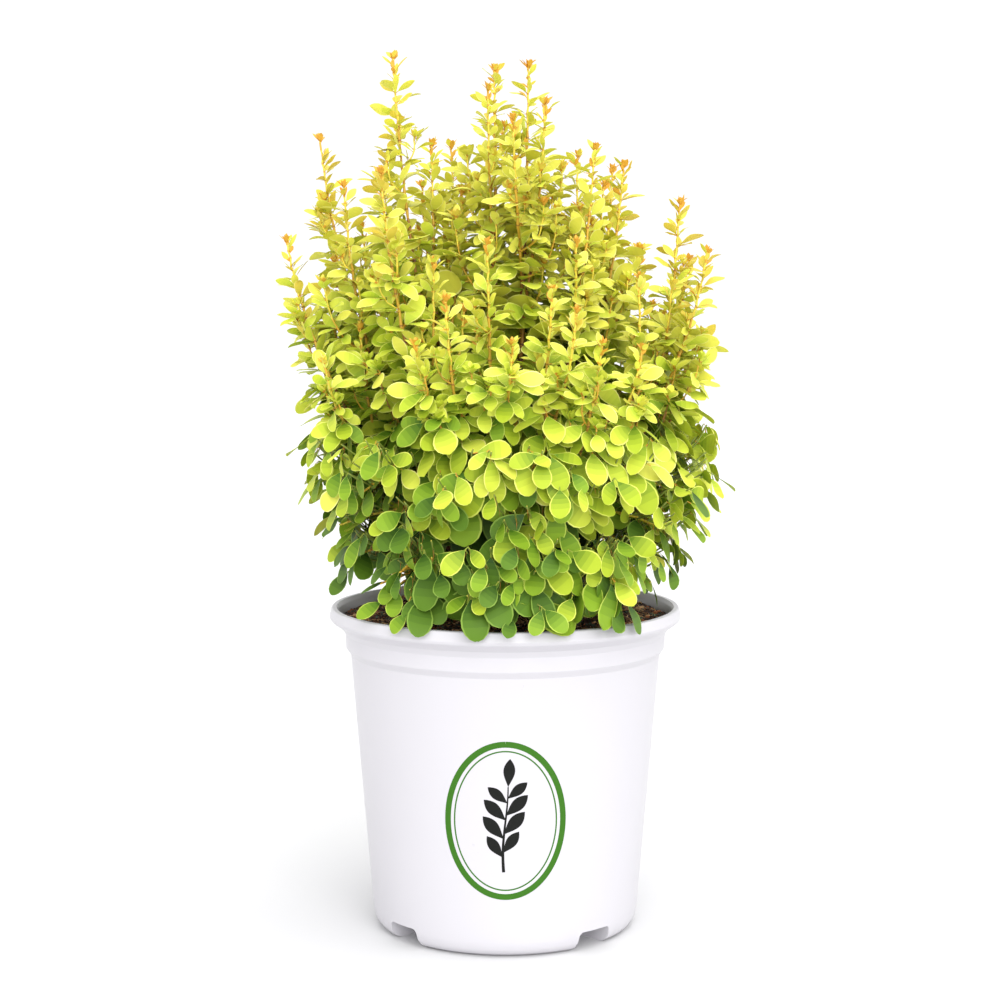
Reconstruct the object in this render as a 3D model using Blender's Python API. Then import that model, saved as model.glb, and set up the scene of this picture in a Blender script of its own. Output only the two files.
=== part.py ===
"""A golden, columnar Japanese barberry, growing in a round white nursery pot.

The pot holds its potting mix. A short woody foot stands on the mix and carries the canes. Each cane runs up
to a mass of foliage, which forks into upright shoots, and a skirt of low foliage hangs round the foot.
Metres, +Z up. The origin is the centre of the pot's flat underside, and the front of the plant faces -Y.
"""

import math
import random

import bmesh
import bpy
from mathutils import Matrix, Quaternion, Vector
from mathutils.bvhtree import BVHTree
from mathutils.kdtree import KDTree

MM = 0.001
GAP = 0.3 * MM
UP = Vector((0, 0, 1))
SEED = 11

# Pot: a two-gallon nursery container, from its rolled lip down to its rounded foot
POT_HEIGHT = 211 * MM
RIM_RADIUS = 115 * MM
LIP_HEIGHT = 10.5 * MM
LIP_WIDTH = 6.4 * MM
LIP_ROUNDING = 2.4 * MM
BAND_TOP = 191.5 * MM
BAND_BOTTOM = 182.5 * MM
BAND_RADIUS = 104.9 * MM
BAND_DRAFT = 0.5 * MM
NECK_HEIGHT = 196.5 * MM
NECK_RADIUS = 107.5 * MM
WALL_TOP = 178 * MM
WALL_TOP_RADIUS = 101.2 * MM
WALL_FOOT_RADIUS = 87.2 * MM
FOOT_RADIUS = 80 * MM
FOOT_ROUNDING = 9 * MM
WALL = 2.0 * MM
FLOOR = 2.5 * MM
POT_SIDES = 36

# Drain channels, moulded into the pot's foot
CHANNELS = 4
CHANNEL_TURN = math.radians(41)
CHANNEL_WIDTH = 28 * MM
CHANNEL_HEIGHT = 10.5 * MM
CHANNEL_ROUNDING = 3 * MM
CHANNEL_DRAFT = 1.2 * MM
CHANNEL_START = 60 * MM
DRAIN_RADIUS = 4 * MM
DRAIN_PLACE = 72 * MM
DRAIN_SIDES = 12
CUT_PAST = 2 * MM

# Potting mix, mounded a little round the foot
MIX_EDGE = 203.5 * MM
MIX_TOP = 211 * MM
MIX_PAD_RADIUS = 25 * MM
MIX_RINGS = 3
MIX_ROUGHNESS = 1.2 * MM

# Woody foot, from its flat cut on the mix: its radius at shares of its height, from the flare to the shoulder
STEM_BASE = MIX_TOP + GAP
STEM_HEIGHT = 16 * MM
STEM_RADIUS = 17 * MM
STEM_OUTLINE = ((22 * MM, 0), (18.7 * MM, 0.2), (STEM_RADIUS, 0.4), (STEM_RADIUS, 0.75), (16.2 * MM, 1))
STEM_SIDES = 14

# Canes stand on the foot in rings: how many stand in each, and its radius. The last takes all that are left.
CANE_RINGS = ((3, 3.0 * MM), (7, 8.4 * MM), (99, 13.9 * MM))
CANE_RADIUS = 2.1 * MM
CANE_END_RADIUS = 1.9 * MM
CANE_ROOM = 1.05
CANE_SIDES = 5
CANE_STEPS = 5
SPREAD_ROUNDS = 400

# A limb's curve: how far its two control points lie in from its ends, as shares of its reach and of its rise.
# A fork's first control point lies along its parent's heading.
CANE_LEAN = (0.45, 0.22)
CANE_UPRIGHT = (0.12, 0.42)
FORK_HEADING = 0.35
FORK_UPRIGHT = (0.10, 0.45)
CURVE_STEPS = 16

# Each clump is one cane and the upright shoots that it forks into. A shoot is given by the place of its tip,
# as x, y and height above the ground in millimetres, read from the outline of the plant.
FRONT_CLUMPS = (
    ((-140, -10, 448), (-112, -62, 372)),
    ((-121, 25, 514), (-102, -25, 482)),
    ((-77, -55, 489),),
    ((-72, 5, 565),),
    ((-36, 55, 512), (-96, 50, 458)),
    ((-7, 15, 558), (-11, -20, 543)),
    ((15, 10, 560), (25, -20, 534), (5, -45, 522)),
    ((57, -10, 506), (48, 45, 505)),
    ((77, 15, 497), (72, 60, 496)),
    ((128, -25, 440), (112, -5, 472)),
    ((-36, -105, 411), (-54, -95, 384)),
    ((-11, -80, 445), (4, -130, 385)),
    ((28, -95, 416), (42, -115, 404)),
    ((57, -120, 385), (83, -90, 381)),
)
# The clumps behind stand on an arc, low and far by turns with tall and near: reach and height in millimetres.
# Each has a second shoot a little to one side, nearer and lower.
BACK_CLUMPS = 7
BACK_FROM = math.radians(20)
BACK_TO = math.radians(160)
BACK_FAR = (126, 436)
BACK_NEAR = (84, 486)
BACK_ASIDE = math.radians(10)
BACK_SECOND_REACH = 0.86
BACK_SECOND_DROP = 30

# Where the foliage starts on its canes, and the sloping floor between it and the skirt
CROWN_FLOOR = 246 * MM
CROWN_FLOOR_SLOPE = 0.12
OUTER_START = 262 * MM
INNER_START = 335 * MM
INNER_REACH = 62 * MM
SPACE_MARGIN = 0.8 * MM

# Shoots, and the two low twigs of an outer clump
FORK_FROM = 0.12
FORK_NEXT = 0.10
LOW_TWIG_FROM = 0.03
LOW_TWIG_NEXT = 0.07
LOW_TWIG_OUTER = 95 * MM
LOW_TWIG_ASIDE = math.radians(17)
LOW_TWIG_REACH = 112 * MM
LOW_TWIG_HEIGHT = 290 * MM
LOW_TWIG_ROOM = 9 * MM
TWIG_RADIUS = 1.8 * MM
FORK_RADIUS = 1.45 * MM
TWIG_TIP_RADIUS = 1.1 * MM
TWIG_END = 16 * MM
TWIG_STEP = 34 * MM
SPOTS = 60

# A dense mass has a core round its stem, up to where the shoots stand apart
CORE_RADIUS = 16 * MM
CORE_END = 2.4 * MM
CORE_FROM = 3 * MM
CORE_FULLEST = 0.8
CORE_BLUNTNESS = 0.6
CORE_BELOW_TIP = 95 * MM
CORE_SIDES = 6
CORE_RINGS = 4
CORE_STEP = 1.5 * MM
CORE_SIZES = (1.0, 0.85, 0.7, 0.55, 0.4)
CORE_LEAF_ROOT = 0.6

# Leaves, larger than life: each stands for a tuft
LEAF_MIN = 18 * MM
LEAF_MAX = 43 * MM
LEAF_SPREAD = (0.86, 1.1)
LEAF_FULL_AT = 90 * MM
LEAF_WIDTH = 0.7
LEAF_WIDEST_AT = 0.6
LEAF_CREST_AT = 0.45
LEAF_THICKNESS = 0.045
LEAF_BEND = 0.035
LEAF_CREST = 0.75 * LEAF_BEND + LEAF_THICKNESS
LEAF_FACING = (0.35, 0.25)
LEAF_SUNK = 0.3 * MM
LEAF_FACES = ((0, 1, 4), (1, 2, 4), (2, 3, 4), (3, 0, 4), (0, 3, 1), (1, 3, 2))
NODE_SPACING_TIP = 11 * MM
NODE_SPACING = 14 * MM
NODE_TURN = math.radians(137.5)
FIRST_NODE = 5 * MM
# A leaf without room is tried again at these sizes, each time more upright
LEAF_SIZES = (1.0, 0.75, 0.54)
# The angle in degrees between a leaf and its shoot, by the distance in millimetres below the shoot's tip
TILTS = ((16, 7), (17, 38), (30, 48), (70, 66), (130, 88), (220, 112))
TILT_SPREAD = math.radians(9)
# Far below the tips the spiral of leaves is squeezed to the plant's outer side, and low leaves hang
OUTER_FAN = 0.74
HANG_FAN = 0.5
HANG_FROM = 330 * MM
HANG_OVER = 75 * MM
HANG_ANGLE = math.radians(42)
HANG_SPREAD = math.radians(16)

# Skirt of low foliage, one mass for each sector round the foot: its stem's arch, from the stem's root up
SKIRTS = 10
SKIRT_ROOT = STEM_BASE + 8 * MM
SKIRT_ARCH = ((0.42, 30 * MM), (0.75, 42 * MM), (1, 30 * MM))
SKIRT_REACH = 92 * MM
SKIRT_REACH_FRONT = 106 * MM
SKIRT_ASIDE = math.radians(11)
SKIRT_FORKS = ((0.34, -SKIRT_ASIDE, 18 * MM), (0.44, SKIRT_ASIDE, 38 * MM))
SKIRT_FORK_SHORT = 4 * MM

# Finishes: name, colour and roughness
WHITE_PLASTIC = ("white_polypropylene", (0.86, 0.86, 0.88), 0.35)
BARK_MIX = ("potting_mix", (0.07, 0.045, 0.03), 0.95)
BARK = ("barberry_bark", (0.16, 0.08, 0.05), 0.8)
CANE_BARK = ("young_bark", (0.32, 0.14, 0.06), 0.6)
UPPER_LEAF = ("golden_leaf", (0.72, 0.70, 0.09), 0.5)
LOWER_LEAF = ("lime_leaf", (0.36, 0.56, 0.08), 0.5)


def clear_scene():
    for obj in list(bpy.data.objects):
        bpy.data.objects.remove(obj)


def material(name, colour, roughness):
    """The Principled material of that name, made once."""
    found = bpy.data.materials.get(name)
    if found:
        return found
    made = bpy.data.materials.new(name)
    made.use_nodes = True
    shader = made.node_tree.nodes["Principled BSDF"]
    shader.inputs["Base Color"].default_value = (*colour, 1)
    shader.inputs["Roughness"].default_value = roughness
    shader.inputs["Metallic"].default_value = 0
    return made


def add_object(name, bm, finish, collection=None):
    """An object from a bmesh, which is freed."""
    bmesh.ops.recalc_face_normals(bm, faces=bm.faces)
    mesh = bpy.data.meshes.new(name)
    bm.to_mesh(mesh)
    bm.free()
    mesh.materials.append(material(*finish))
    obj = bpy.data.objects.new(name, mesh)
    (collection or bpy.context.scene.collection).objects.link(obj)
    return obj


def shade_round(obj):
    obj.data.shade_smooth()
    obj.data.set_sharp_from_angle(angle=math.radians(35))


def turned(profile, sides=POT_SIDES):
    """A closed solid of revolution about Z. The profile's first and last points lie on the axis."""
    bm = bmesh.new()
    points = [bm.verts.new((radius, 0, height)) for radius, height in profile]
    edges = [bm.edges.new(pair) for pair in zip(points, points[1:])]
    bmesh.ops.spin(
        bm, geom=points + edges, cent=(0, 0, 0), axis=(0, 0, 1), angle=math.tau, steps=sides, use_merge=True
    )
    bmesh.ops.remove_doubles(bm, verts=bm.verts, dist=0.001 * MM)
    return bm


def as_cutter(obj):
    obj.hide_render = True
    obj.display_type = "WIRE"
    return obj


def cut(obj, cutter):
    modifier = obj.modifiers.new(cutter.name, "BOOLEAN")
    modifier.operation = "DIFFERENCE"
    modifier.object = cutter
    modifier.solver = "EXACT"


def foot_rounding(radius, wall_radius, bottom):
    """Points of the rounded corner between the underside and the wall, going up."""
    turns = (0, math.pi / 4, math.pi / 2)
    span = wall_radius - radius
    return [(radius + span * math.sin(t), bottom + FOOT_ROUNDING * (1 - math.cos(t))) for t in turns]


def pot_inside(inset=0.0):
    """The cavity's wall up to the neck as (radius, height) points, taken in by inset."""
    thick = WALL + inset
    return [
        *foot_rounding(FOOT_RADIUS - thick, WALL_FOOT_RADIUS - thick, FLOOR + inset),
        (WALL_TOP_RADIUS - thick, WALL_TOP),
        (BAND_RADIUS - BAND_DRAFT - thick, BAND_BOTTOM),
        (BAND_RADIUS - thick, BAND_TOP),
        (NECK_RADIUS - thick, NECK_HEIGHT),
    ]


def channel_bm(grow):
    """A drain channel's solid, larger all round by grow: a drafted slot with rounded top corners, along X."""
    half_top = CHANNEL_WIDTH / 2 - CHANNEL_DRAFT + grow
    half_foot = CHANNEL_WIDTH / 2 + grow
    top = CHANNEL_HEIGHT + grow
    rounding = CHANNEL_ROUNDING + grow
    turns = [math.pi / 2 * i / 3 for i in range(4)]
    corner = [(half_top - rounding * (1 - math.cos(t)), top - rounding * (1 - math.sin(t))) for t in turns]
    right = [(half_foot, -CUT_PAST), *corner]
    outline = [*right, *[(-y, z) for y, z in reversed(right)]]
    start = CHANNEL_START - grow
    bm = bmesh.new()
    face = bm.faces.new([bm.verts.new((start, y, z)) for y, z in outline])
    pushed = bmesh.ops.extrude_face_region(bm, geom=[face])["geom"]
    end = [part for part in pushed if isinstance(part, bmesh.types.BMVert)]
    bmesh.ops.translate(bm, verts=end, vec=(RIM_RADIUS - start, 0, 0))
    return bm


def channel_places():
    return [Matrix.Rotation(CHANNEL_TURN + math.tau * k / CHANNELS, 4, "Z") for k in range(CHANNELS)]


def channel_cutters(name, grow):
    """All the channels as one cutter: they lie well apart."""
    whole = bmesh.new()
    for place in channel_places():
        one = channel_bm(grow)
        one.transform(place)
        mesh = bpy.data.meshes.new(name)
        one.to_mesh(mesh)
        one.free()
        whole.from_mesh(mesh)
        bpy.data.meshes.remove(mesh)
    return as_cutter(add_object(name, whole, WHITE_PLASTIC))


def drain_cutter():
    """The round holes in the channels' roofs."""
    bm = bmesh.new()
    for place in channel_places():
        bmesh.ops.create_cone(
            bm,
            cap_ends=True,
            segments=DRAIN_SIDES,
            radius1=DRAIN_RADIUS,
            radius2=DRAIN_RADIUS,
            depth=4 * WALL,
            matrix=place @ Matrix.Translation((DRAIN_PLACE, 0, CHANNEL_HEIGHT)),
        )
    return as_cutter(add_object("drain_holes", bm, WHITE_PLASTIC))


def make_pot():
    lip_foot = POT_HEIGHT - LIP_HEIGHT
    outside = [
        (0, 0),
        *foot_rounding(FOOT_RADIUS, WALL_FOOT_RADIUS, 0),
        (WALL_TOP_RADIUS, WALL_TOP),
        (BAND_RADIUS - BAND_DRAFT, BAND_BOTTOM),
        (BAND_RADIUS, BAND_TOP),
        (NECK_RADIUS, NECK_HEIGHT),
        (RIM_RADIUS - LIP_ROUNDING / 2, lip_foot),
        (RIM_RADIUS, lip_foot + LIP_HEIGHT / 3),
        (RIM_RADIUS - LIP_ROUNDING / 4, POT_HEIGHT - LIP_ROUNDING),
        (RIM_RADIUS - LIP_ROUNDING, POT_HEIGHT),
        (0, POT_HEIGHT),
    ]
    inside = [
        (0, FLOOR),
        *pot_inside(),
        (RIM_RADIUS - LIP_WIDTH, POT_HEIGHT - CUT_PAST),
        (RIM_RADIUS - LIP_WIDTH + CUT_PAST, POT_HEIGHT + CUT_PAST),
        (0, POT_HEIGHT + CUT_PAST),
    ]
    pot = add_object("pot", turned(outside), WHITE_PLASTIC)
    cavity = as_cutter(add_object("cavity", turned(inside), WHITE_PLASTIC))
    cut(cavity, channel_cutters("channel_walls", WALL))
    cut(pot, cavity)
    cut(pot, channel_cutters("channels", 0.0))
    cut(pot, drain_cutter())
    shade_round(pot)
    return pot


def make_potting_mix():
    """The mix fills the pot, and its top is mounded and uneven, but for the flat pad under the foot."""
    neck = NECK_RADIUS - WALL
    up_lip = (MIX_EDGE - NECK_HEIGHT) / (POT_HEIGHT - CUT_PAST - NECK_HEIGHT)
    edge_radius = neck + up_lip * (RIM_RADIUS - LIP_WIDTH - neck) - GAP
    mound = []
    for i in range(MIX_RINGS + 1):
        inward = i / (MIX_RINGS + 1)
        radius = edge_radius + inward * (MIX_PAD_RADIUS - edge_radius)
        mound.append((radius, MIX_EDGE + inward * (MIX_TOP - MIX_EDGE)))
    profile = [(0, FLOOR + GAP), *pot_inside(GAP), *mound, (MIX_PAD_RADIUS, MIX_TOP), (0, MIX_TOP)]
    bm = turned(profile)
    chance = random.Random(SEED)
    for vert in bm.verts:
        if MIX_EDGE + MM < vert.co.z < MIX_TOP - MM / 2:
            vert.co.z += chance.uniform(-MIX_ROUGHNESS, MIX_ROUGHNESS)
    mix = add_object("potting_mix", bm, BARK_MIX)
    cut(mix, channel_cutters("channel_room", WALL + GAP))
    return mix


def make_stem_foot():
    """The short trunk that the canes rise from, flared at the mix and cut off flat there."""
    outline = [(radius, STEM_BASE + share * STEM_HEIGHT) for radius, share in STEM_OUTLINE]
    profile = [(0, STEM_BASE), *outline, (0, STEM_BASE + STEM_HEIGHT)]
    foot = add_object("stem_foot", turned(profile, STEM_SIDES), BARK)
    shade_round(foot)
    return foot


def around(radius, turn, height):
    return Vector((radius * math.cos(turn), radius * math.sin(turn), height))


def bezier(p0, p1, p2, p3):
    points = []
    for i in range(CURVE_STEPS + 1):
        t = i / CURVE_STEPS
        s = 1 - t
        points.append(s**3 * p0 + 3 * s * s * t * p1 + 3 * s * t * t * p2 + t**3 * p3)
    return points


def shares(away, reach, rise):
    """A part of a way: its level part and its rise, each by its own share."""
    return Vector((reach * away.x, reach * away.y, rise * away.z))


def cane_path(foot, tip):
    """A cane leans out from the foot of the plant and then turns upright to its tip."""
    away = tip - foot
    return bezier(foot, foot + shares(away, *CANE_LEAN), tip - shares(away, *CANE_UPRIGHT), tip)


def fork_path(start, heading, tip):
    """A side shoot leaves its parent along the parent's heading and turns upright to its tip."""
    away = tip - start
    lower = start + FORK_HEADING * away.length * heading
    return bezier(start, lower, tip - shares(away, *FORK_UPRIGHT), tip)


class Line:
    """A polyline with its lengths along it."""

    def __init__(self, points):
        self.points = points
        self.at = [0.0]
        for a, b in zip(points, points[1:]):
            self.at.append(self.at[-1] + (b - a).length)
        self.length = self.at[-1]

    def place(self, s):
        """The point and the heading at length s."""
        s = min(max(s, 0.0), self.length)
        i = 0
        while i < len(self.at) - 2 and self.at[i + 1] < s:
            i += 1
        a, b = self.points[i], self.points[i + 1]
        t = (s - self.at[i]) / (self.at[i + 1] - self.at[i])
        return a.lerp(b, t), (b - a).normalized()

    def at_height(self, height):
        """The length at which the line first reaches that height."""
        for i, (a, b) in enumerate(zip(self.points, self.points[1:])):
            if a.z <= height <= b.z:
                return self.at[i] + (height - a.z) / (b.z - a.z) * (self.at[i + 1] - self.at[i])
        return self.length

    def part(self, start, end, steps):
        return [self.place(start + (end - start) * i / steps)[0] for i in range(steps + 1)]


class Clump:
    """One cane, and the upright shoots of the mass that it carries."""

    def __init__(self, tips):
        self.tips = [MM * Vector(tip) for tip in tips]
        self.reach = math.hypot(self.tips[0].x, self.tips[0].y)
        self.azimuth = math.atan2(self.tips[0].y, self.tips[0].x)

    def grow(self, foot):
        """The main line from the foot to the first tip, and a fork to each other tip."""
        self.main = Line(cane_path(foot, self.tips[0]))
        self.start = self.main.at_height(INNER_START if self.reach < INNER_REACH else OUTER_START)
        self.forks = []
        for k, tip in enumerate(self.tips[1:]):
            self.forks.append(self.fork(FORK_FROM + FORK_NEXT * k, tip))
        self.keep_spots()

    def fork(self, share, tip):
        """A side shoot to tip, from that share of the way up the main line's leafy part."""
        point, heading = self.main.place(self.start + share * (self.main.length - self.start))
        return Line(fork_path(point, heading, tip))

    def grow_low_twigs(self, others):
        """An outer clump has two low twigs that lean out to fill the crown's side, where there is room."""
        if self.reach < LOW_TWIG_OUTER:
            return
        for k, aside in enumerate((-LOW_TWIG_ASIDE, LOW_TWIG_ASIDE)):
            tip = around(LOW_TWIG_REACH, self.azimuth + aside, LOW_TWIG_HEIGHT)
            twig = self.fork(LOW_TWIG_FROM + LOW_TWIG_NEXT * k, tip)
            spots = twig.part(0, twig.length, CURVE_STEPS)
            if all(other.distance(spot) > LOW_TWIG_ROOM for other in others for spot in spots):
                self.forks.append(twig)
        self.keep_spots()

    def keep_spots(self):
        """Keeps points of the shoots, to find the nearest of them quickly."""
        spots = self.main.part(self.start, self.main.length, SPOTS)
        for fork in self.forks:
            spots += fork.part(0, fork.length, SPOTS)
        self.spots = KDTree(len(spots))
        for i, spot in enumerate(spots):
            self.spots.insert(spot, i)
        self.spots.balance()

    def distance(self, point):
        return self.spots.find(point)[2]


def all_clumps():
    clumps = [Clump(tips) for tips in FRONT_CLUMPS]
    for k in range(BACK_CLUMPS):
        turn = BACK_FROM + (BACK_TO - BACK_FROM) * k / (BACK_CLUMPS - 1)
        reach, height = BACK_NEAR if k % 2 else BACK_FAR
        first = around(reach, turn - BACK_ASIDE / 2, height)
        second = around(BACK_SECOND_REACH * reach, turn + BACK_ASIDE / 2, height - BACK_SECOND_DROP)
        clumps.append(Clump((first, second)))
    return clumps


def spread(turns, least):
    """Moves neighbouring directions on a circle apart, to at least that angle."""
    turns = list(turns)
    for _ in range(SPREAD_ROUNDS):
        for i in range(len(turns)):
            j = (i + 1) % len(turns)
            short = max(least - (turns[j] - turns[i]) % math.tau, 0) / 2
            turns[i] -= short
            turns[j] += short
    return turns


def plant(clumps):
    """Stands the canes on the foot, those that lean least in the middle, each on its own side."""
    left = sorted(clumps, key=lambda clump: clump.reach)
    foot_height = STEM_BASE + STEM_HEIGHT + GAP
    for count, radius in CANE_RINGS:
        ring = sorted(left[:count], key=lambda clump: clump.azimuth)
        left = left[count:]
        least = 2 * CANE_ROOM * math.asin((CANE_RADIUS + GAP) / radius)
        for clump, turn in zip(ring, spread([clump.azimuth for clump in ring], least)):
            clump.grow(around(radius, turn, foot_height))
    for clump in clumps:
        clump.grow_low_twigs([other for other in clumps if other is not clump])


def frames(points, first_heading=None):
    """The heading of a line through points at each of them, and a direction across it that doesn't twist."""
    found = []
    across = Vector((1, 0, 0))
    for before, point, after in zip(points[:1] + points, points, points[1:] + points[-1:]):
        heading = (after - before).normalized()
        if first_heading and not found:
            heading = first_heading
        across = (across - heading * across.dot(heading)).normalized()
        found.append((point, heading, across))
    return found


def spokes(heading, across, sides):
    return [Quaternion(heading, math.tau * k / sides) @ across for k in range(sides)]


def skinned(rings):
    """A closed solid from rings of as many points each, with flat ends."""
    bm = bmesh.new()
    rings = [[bm.verts.new(point) for point in ring] for ring in rings]
    for low, high in zip(rings, rings[1:]):
        for k, j in zip(range(len(low)), [*range(1, len(low)), 0]):
            bm.faces.new((low[k], low[j], high[j], high[k]))
    bm.faces.new(reversed(rings[0]))
    bm.faces.new(rings[-1])
    return bm


def limb_bm(points, radius_from, radius_to, sides, first_heading=None):
    """A tapering limb along points. Its foot is cut square to the first heading, if given."""
    rings = []
    for i, (point, heading, across) in enumerate(frames(points, first_heading)):
        radius = radius_from + (radius_to - radius_from) * i / (len(points) - 1)
        rings.append([point + radius * spoke for spoke in spokes(heading, across, sides)])
    return skinned(rings)


def make_cane(name, clump):
    points = clump.main.part(0, clump.start, CANE_STEPS)
    return add_object(name, limb_bm(points, CANE_RADIUS, CANE_END_RADIUS, CANE_SIDES, UP), CANE_BARK)


def crown_floor(point):
    """The height of the boundary between the skirt and the foliage, over or under that point."""
    return CROWN_FLOOR + CROWN_FLOOR_SLOPE * math.hypot(point.x, point.y)


def clump_room(clump, others):
    """A test for a clump's own space: what lies nearer to its shoots than to any other's, above the skirt."""

    def holds(point):
        if point.z < crown_floor(point) + SPACE_MARGIN:
            return False
        own = clump.distance(point) + SPACE_MARGIN
        return all(other.distance(point) > own for other in others)

    return holds


def sector_room(middle, half):
    """A test for a skirt's own space: a sector under the crown's floor."""

    def holds(point):
        off = math.remainder(math.atan2(point.y, point.x) - middle, math.tau)
        inside = math.hypot(point.x, point.y) * math.sin(max(half - abs(off), 0))
        return inside > SPACE_MARGIN / 2 and point.z < crown_floor(point) - SPACE_MARGIN

    return holds


class Obstacles:
    """What is already there, to be kept clear of."""

    def __init__(self, objects):
        self.trees = []
        for obj in objects:
            self.add(obj)

    def add(self, obj):
        self.trees.append(BVHTree.FromObject(obj, bpy.context.evaluated_depsgraph_get()))

    def touch(self, bm):
        """Whether the shape, with the gap round it, meets anything."""
        swollen = bm.copy()
        swollen.normal_update()
        for vert in swollen.verts:
            vert.co += vert.normal * 1.5 * GAP
        tree = BVHTree.FromBMesh(swollen)
        swollen.free()
        return any(tree.overlap(other) for other in self.trees)


class Core:
    """The spindle round a mass's stem. Its reach at any place is cut off by the mass's space."""

    def __init__(self, line, start, holds):
        self.line = line
        self.start = start + CORE_FROM
        self.end = line.length - CORE_BELOW_TIP
        self.holds = holds
        self.size = 0.0

    def reach(self, s, side):
        along = (s - self.start) / (self.end - self.start)
        if not 0 < along < 1:
            return 0.0
        point = self.line.place(s)[0]
        most = CORE_RADIUS * math.sin(math.pi * along**CORE_FULLEST) ** CORE_BLUNTNESS
        reach = 0.0
        while reach + CORE_STEP < most and self.holds(point + (reach + 2 * CORE_STEP) * side):
            reach += CORE_STEP
        return self.size * reach

    def bm(self):
        steps = CORE_RINGS + 1
        rings = []
        for i, (point, heading, across) in enumerate(frames(self.line.part(self.start, self.end, steps))):
            s = self.start + (self.end - self.start) * i / steps
            around_stem = spokes(heading, across, CORE_SIDES)
            rings.append([point + max(self.reach(s, spoke), CORE_END) * spoke for spoke in around_stem])
        bm = skinned(rings)
        bmesh.ops.recalc_face_normals(bm, faces=bm.faces)
        return bm

    def fitted(self, obstacles):
        """The core at the largest size that touches nothing, or None."""
        for size in CORE_SIZES:
            self.size = size
            bm = self.bm()
            if not obstacles.touch(bm):
                return bm
            bm.free()
        self.size = 0.0
        return None


def tilt_at(below):
    """The angle between a leaf and its shoot: close to the shoot at its tip, and hanging far down."""
    below = min(below / MM, TILTS[-1][0])
    for (nearer, low), (farther, high) in zip(TILTS, TILTS[1:]):
        if below <= farther:
            return math.radians(low + (high - low) * (below - nearer) / (farther - nearer))


def leaf_bm(root, along, facing, length):
    """A spoon-shaped leaf, bent down over its widest line, with a midrib that stands up to a crest."""
    beside = along.cross(facing).normalized()
    crest = beside.cross(along).normalized()
    shoulder = root + length * (LEAF_WIDEST_AT * along + LEAF_BEND * crest)
    half = LEAF_WIDTH * length / 2
    corners = (
        root,
        shoulder + half * beside,
        root + length * (along - LEAF_BEND * crest),
        shoulder - half * beside,
        root + length * (LEAF_CREST_AT * along + LEAF_CREST * crest),
    )
    bm = bmesh.new()
    verts = [bm.verts.new(corner) for corner in corners]
    for face in LEAF_FACES:
        bm.faces.new([verts[i] for i in face])
    return bm


def leaves_along(line, start, chance, core=None):
    """The leaves that a shoot could bear, as root, direction, facing, length and the shoot's heading.

    They follow a spiral down the shoot. Far below the tip it is squeezed to the plant's outer side, and where
    the plant is low the leaves hang.
    """
    to_side, to_sky = LEAF_FACING
    found = []
    turn = chance.uniform(0, math.tau)
    below = TWIG_END
    while line.length - below > start:
        s = line.length - below
        point, heading = line.place(s)
        outward = Vector((point.x, point.y, 0)).normalized()
        across = (outward - heading * outward.dot(heading)).normalized()
        grown = min(below / LEAF_FULL_AT, 1.0)
        hang = min(max((HANG_FROM - point.z) / HANG_OVER, 0.0), 1.0)
        fan = 1 - max((1 - OUTER_FAN) * grown**2, (1 - HANG_FAN) * hang)
        side_turn = fan * math.remainder(turn, math.tau)
        side = Quaternion(heading, side_turn) @ across
        tilt = tilt_at(below) + chance.uniform(-TILT_SPREAD, TILT_SPREAD) * (below > TWIG_END)
        down = HANG_ANGLE + chance.uniform(-HANG_SPREAD, HANG_SPREAD)
        standing = math.cos(tilt) * heading + math.sin(tilt) * side
        hanging = math.cos(down) * (Quaternion(UP, side_turn) @ outward) - math.sin(down) * UP
        along = standing.lerp(hanging, hang).normalized()
        length = (LEAF_MIN + (LEAF_MAX - LEAF_MIN) * max(grown, hang)) * chance.uniform(*LEAF_SPREAD)
        reach = core.reach(s, side) if core else 0.0
        root = point + CORE_LEAF_ROOT * reach * side - (0 if reach else LEAF_SUNK) * along
        found.append((root, along, heading + to_side * side + to_sky * UP, length, heading))
        turn += NODE_TURN
        below += NODE_SPACING_TIP if below < LEAF_FULL_AT / 2 else NODE_SPACING
    return found


def fits(bm, holds, obstacles):
    """Whether a shape stays in its space and touches nothing."""
    spots = [v.co for v in bm.verts] + [(e.verts[0].co + e.verts[1].co) / 2 for e in bm.edges]
    return all(map(holds, spots)) and not obstacles.touch(bm)


def fitted_leaves(leaves, holds, obstacles):
    """The leaves that have room, each at the largest size that does and clear of its neighbours."""
    kept = []
    trees = []
    for root, along, facing, length, heading in leaves:
        for size in LEAF_SIZES:
            leaf = leaf_bm(root, along.lerp(heading, 1 - size).normalized(), facing, size * length)
            tree = BVHTree.FromBMesh(leaf)
            if not any(tree.overlap(other) for other in trees) and fits(leaf, holds, obstacles):
                kept.append(leaf)
                trees.append(tree)
                break
            leaf.free()
    return kept


def make_mass(name, lines, holds, obstacles, finish, chance, core=None, first_heading=None):
    """One node: the stem, its forks, its core and each leaf that stays in the mass's own space."""
    stem_line, stem_start = lines[0]
    pieces = []
    if core:
        body = core.fitted(obstacles)
        if body:
            pieces.append(body)
    leaves = leaves_along(stem_line, stem_start + FIRST_NODE, chance, core)
    for line, start in lines[1:]:
        steps = max(2, round((line.length - TWIG_END - start) / TWIG_STEP))
        twig = limb_bm(line.part(start, line.length - TWIG_END, steps), FORK_RADIUS, TWIG_TIP_RADIUS, 3)
        if obstacles.touch(twig):
            twig.free()
            continue
        pieces.append(twig)
        leaves += leaves_along(line, start + FIRST_NODE, chance)
    pieces += fitted_leaves(leaves, holds, obstacles)
    steps = round((stem_line.length - TWIG_END - stem_start) / TWIG_STEP)
    points = stem_line.part(stem_start, stem_line.length - TWIG_END, steps)
    stem = limb_bm(points, TWIG_RADIUS, TWIG_TIP_RADIUS, 3, first_heading)
    obstacles.add(fused(name, stem, pieces, finish))


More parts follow.
